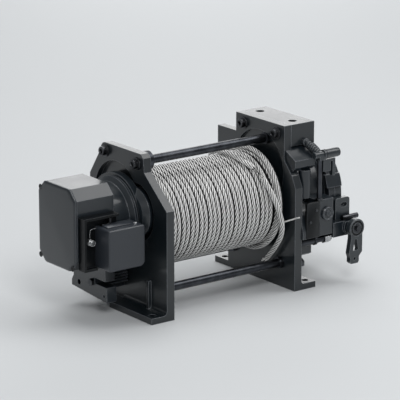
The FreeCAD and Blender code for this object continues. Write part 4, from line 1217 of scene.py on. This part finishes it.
@dataclass
class GearboxFittings:
    """Hexagon screws round the gearbox's end cap; the profile is (radius, height) in millimetres."""

    palette: Palette
    axis: tuple[float, float] = (90.0, 136.0)
    face: float = 234.0
    circle: float = 70.0
    count: int = 8
    highest: float = 60.0
    profile: tuple[tuple[float, float], ...] = (
        (6.5, 0.0), (6.5, 1.0), (5.0, 1.1), (5.0, 4.0), (4.2, 4.6), (0.4, 4.6))

    def build(self) -> None:
        """Builds the screws that lie below the cap's flat."""
        for number in range(self.count):
            angle = 2 * math.pi * (number + 0.5) / self.count
            up = self.circle * math.sin(angle)
            if up > self.highest:
                continue
            at = (self.face, self.axis[0] + self.circle * math.cos(angle), self.axis[1] + up)
            screw = lathe("gearbox_cap_screw_%d" % number, at, (1, 0, 0), self.profile, 6)
            self.palette.hand_over(screw, Finish.SCREW)


@dataclass
class SoftBox:
    """One rectangular lamp, aimed at the winch."""

    name: str
    at: tuple[float, float, float]
    size: float
    power: float
    aim: tuple[float, float, float] = (0.0, 0.09, 0.12)

    def build(self) -> None:
        """Adds the lamp."""
        data = bpy.data.lights.new(self.name, "AREA")
        data.shape = "SQUARE"
        data.size = self.size
        data.energy = self.power
        lamp = bpy.data.objects.new(self.name, data)
        lamp.location = self.at
        lamp.rotation_euler = (Vector(self.at) - Vector(self.aim)).to_track_quat("Z", "Y").to_euler()
        bpy.context.scene.collection.objects.link(lamp)


@dataclass
class Studio:
    """Pale floor running up into a backdrop, soft lamps, and the camera of the photograph."""

    camera_at: tuple[float, float, float] = (-2256.1, -2910.2, 1196.3)
    swing: float = 37.05
    tilt: float = 15.61
    lens: float = 223.18
    film_wide: float = 36.0
    sight: float = 30.0
    bend_starts: float = 2.6
    bend_radius: float = 1.6
    backdrop_high: float = 6.0
    floor_near: float = -6.0
    floor_half_wide: float = 7.0
    floor_colour: tuple[float, float, float, float] = (0.575, 0.59, 0.60, 1.0)
    world_colour: tuple[float, float, float, float] = (0.72, 0.74, 0.76, 1.0)
    world_strength: float = 0.40
    lamps: tuple[SoftBox, ...] = (
        SoftBox("overhead", (0.4, 0.9, 3.0), 2.4, 54.0),
        SoftBox("front_top", (-0.9, -2.2, 2.2), 1.2, 40.0),
        SoftBox("right_top", (1.4, -0.6, 1.9), 1.2, 14.0),
        SoftBox("behind", (1.80, 2.40, 1.07), 1.73, 16.0),
    )

    def build_camera(self) -> None:
        """Places the camera, level, at the photograph's swing and tilt."""
        swing, tilt = math.radians(self.swing), math.radians(self.tilt)
        right = Vector((math.cos(swing), -math.sin(swing), 0.0))
        back = Vector((-math.sin(swing) * math.cos(tilt), -math.cos(swing) * math.cos(tilt), math.sin(tilt)))
        up = back.cross(right)
        data = bpy.data.cameras.new("camera")
        data.lens = self.lens
        data.sensor_width = self.film_wide
        data.clip_end = self.sight
        camera = bpy.data.objects.new("camera", data)
        turn = Matrix((right, up, back)).transposed().to_4x4()
        camera.matrix_world = Matrix.Translation(Vector(self.camera_at) * MM) @ turn
        bpy.context.scene.collection.objects.link(camera)
        bpy.context.scene.camera = camera

    def build_floor(self) -> None:
        """A level sheet that curves up far behind the winch.

        Formula: a profile of distance and height, level and then a quarter round, carried
        across; it stands square to the camera's swing.
        """
        bend = np.radians(np.linspace(0, 90, 16))
        far = self.bend_starts + self.bend_radius
        depth = np.concatenate([[self.floor_near], self.bend_starts + self.bend_radius * np.sin(bend), [far]])
        height = np.concatenate([[0.0], self.bend_radius * (1 - np.cos(bend)), [self.backdrop_high]])
        across = np.array([-self.floor_half_wide, self.floor_half_wide])
        swing = math.radians(self.swing)
        forward = np.array([math.sin(swing), math.cos(swing), 0.0])
        side = np.array([math.cos(swing), -math.sin(swing), 0.0])
        points = (depth[:, None, None] * forward + across[None, :, None] * side
                  + height[:, None, None] * np.array([0.0, 0.0, 1.0]))
        floor = surface("floor", points[:, ::-1])
        made = Shader("studio_floor")
        floor.data.materials.append(made.close(base_color=self.floor_colour, roughness=0.75))

    def build_world(self) -> None:
        """Even pale light from all round."""
        world = bpy.data.worlds.new("studio")
        world.use_nodes = True
        background = world.node_tree.nodes["Background"]
        background.inputs["Color"].default_value = self.world_colour
        background.inputs["Strength"].default_value = self.world_strength
        bpy.context.scene.world = world

    def build(self) -> None:
        """Builds the whole studio."""
        self.build_camera()
        self.build_floor()
        self.build_world()
        for lamp in self.lamps:
            lamp.build()
        bpy.context.scene.view_settings.view_transform = "Standard"
        LOG.info("studio ready")


def main() -> None:
    """Builds the studio and every part of the winch."""
    logging.basicConfig(level=logging.INFO, format="%(name)s: %(message)s")
    palette = Palette()
    Studio().build()
    Castings(palette).build()
    PlateFittings(palette).build()
    MotorFittings(palette).build()
    LinkageFittings(palette).build()
    GearboxFittings(palette).build()
    WoundRope(palette).build()


if __name__ == "__main__":
    main()
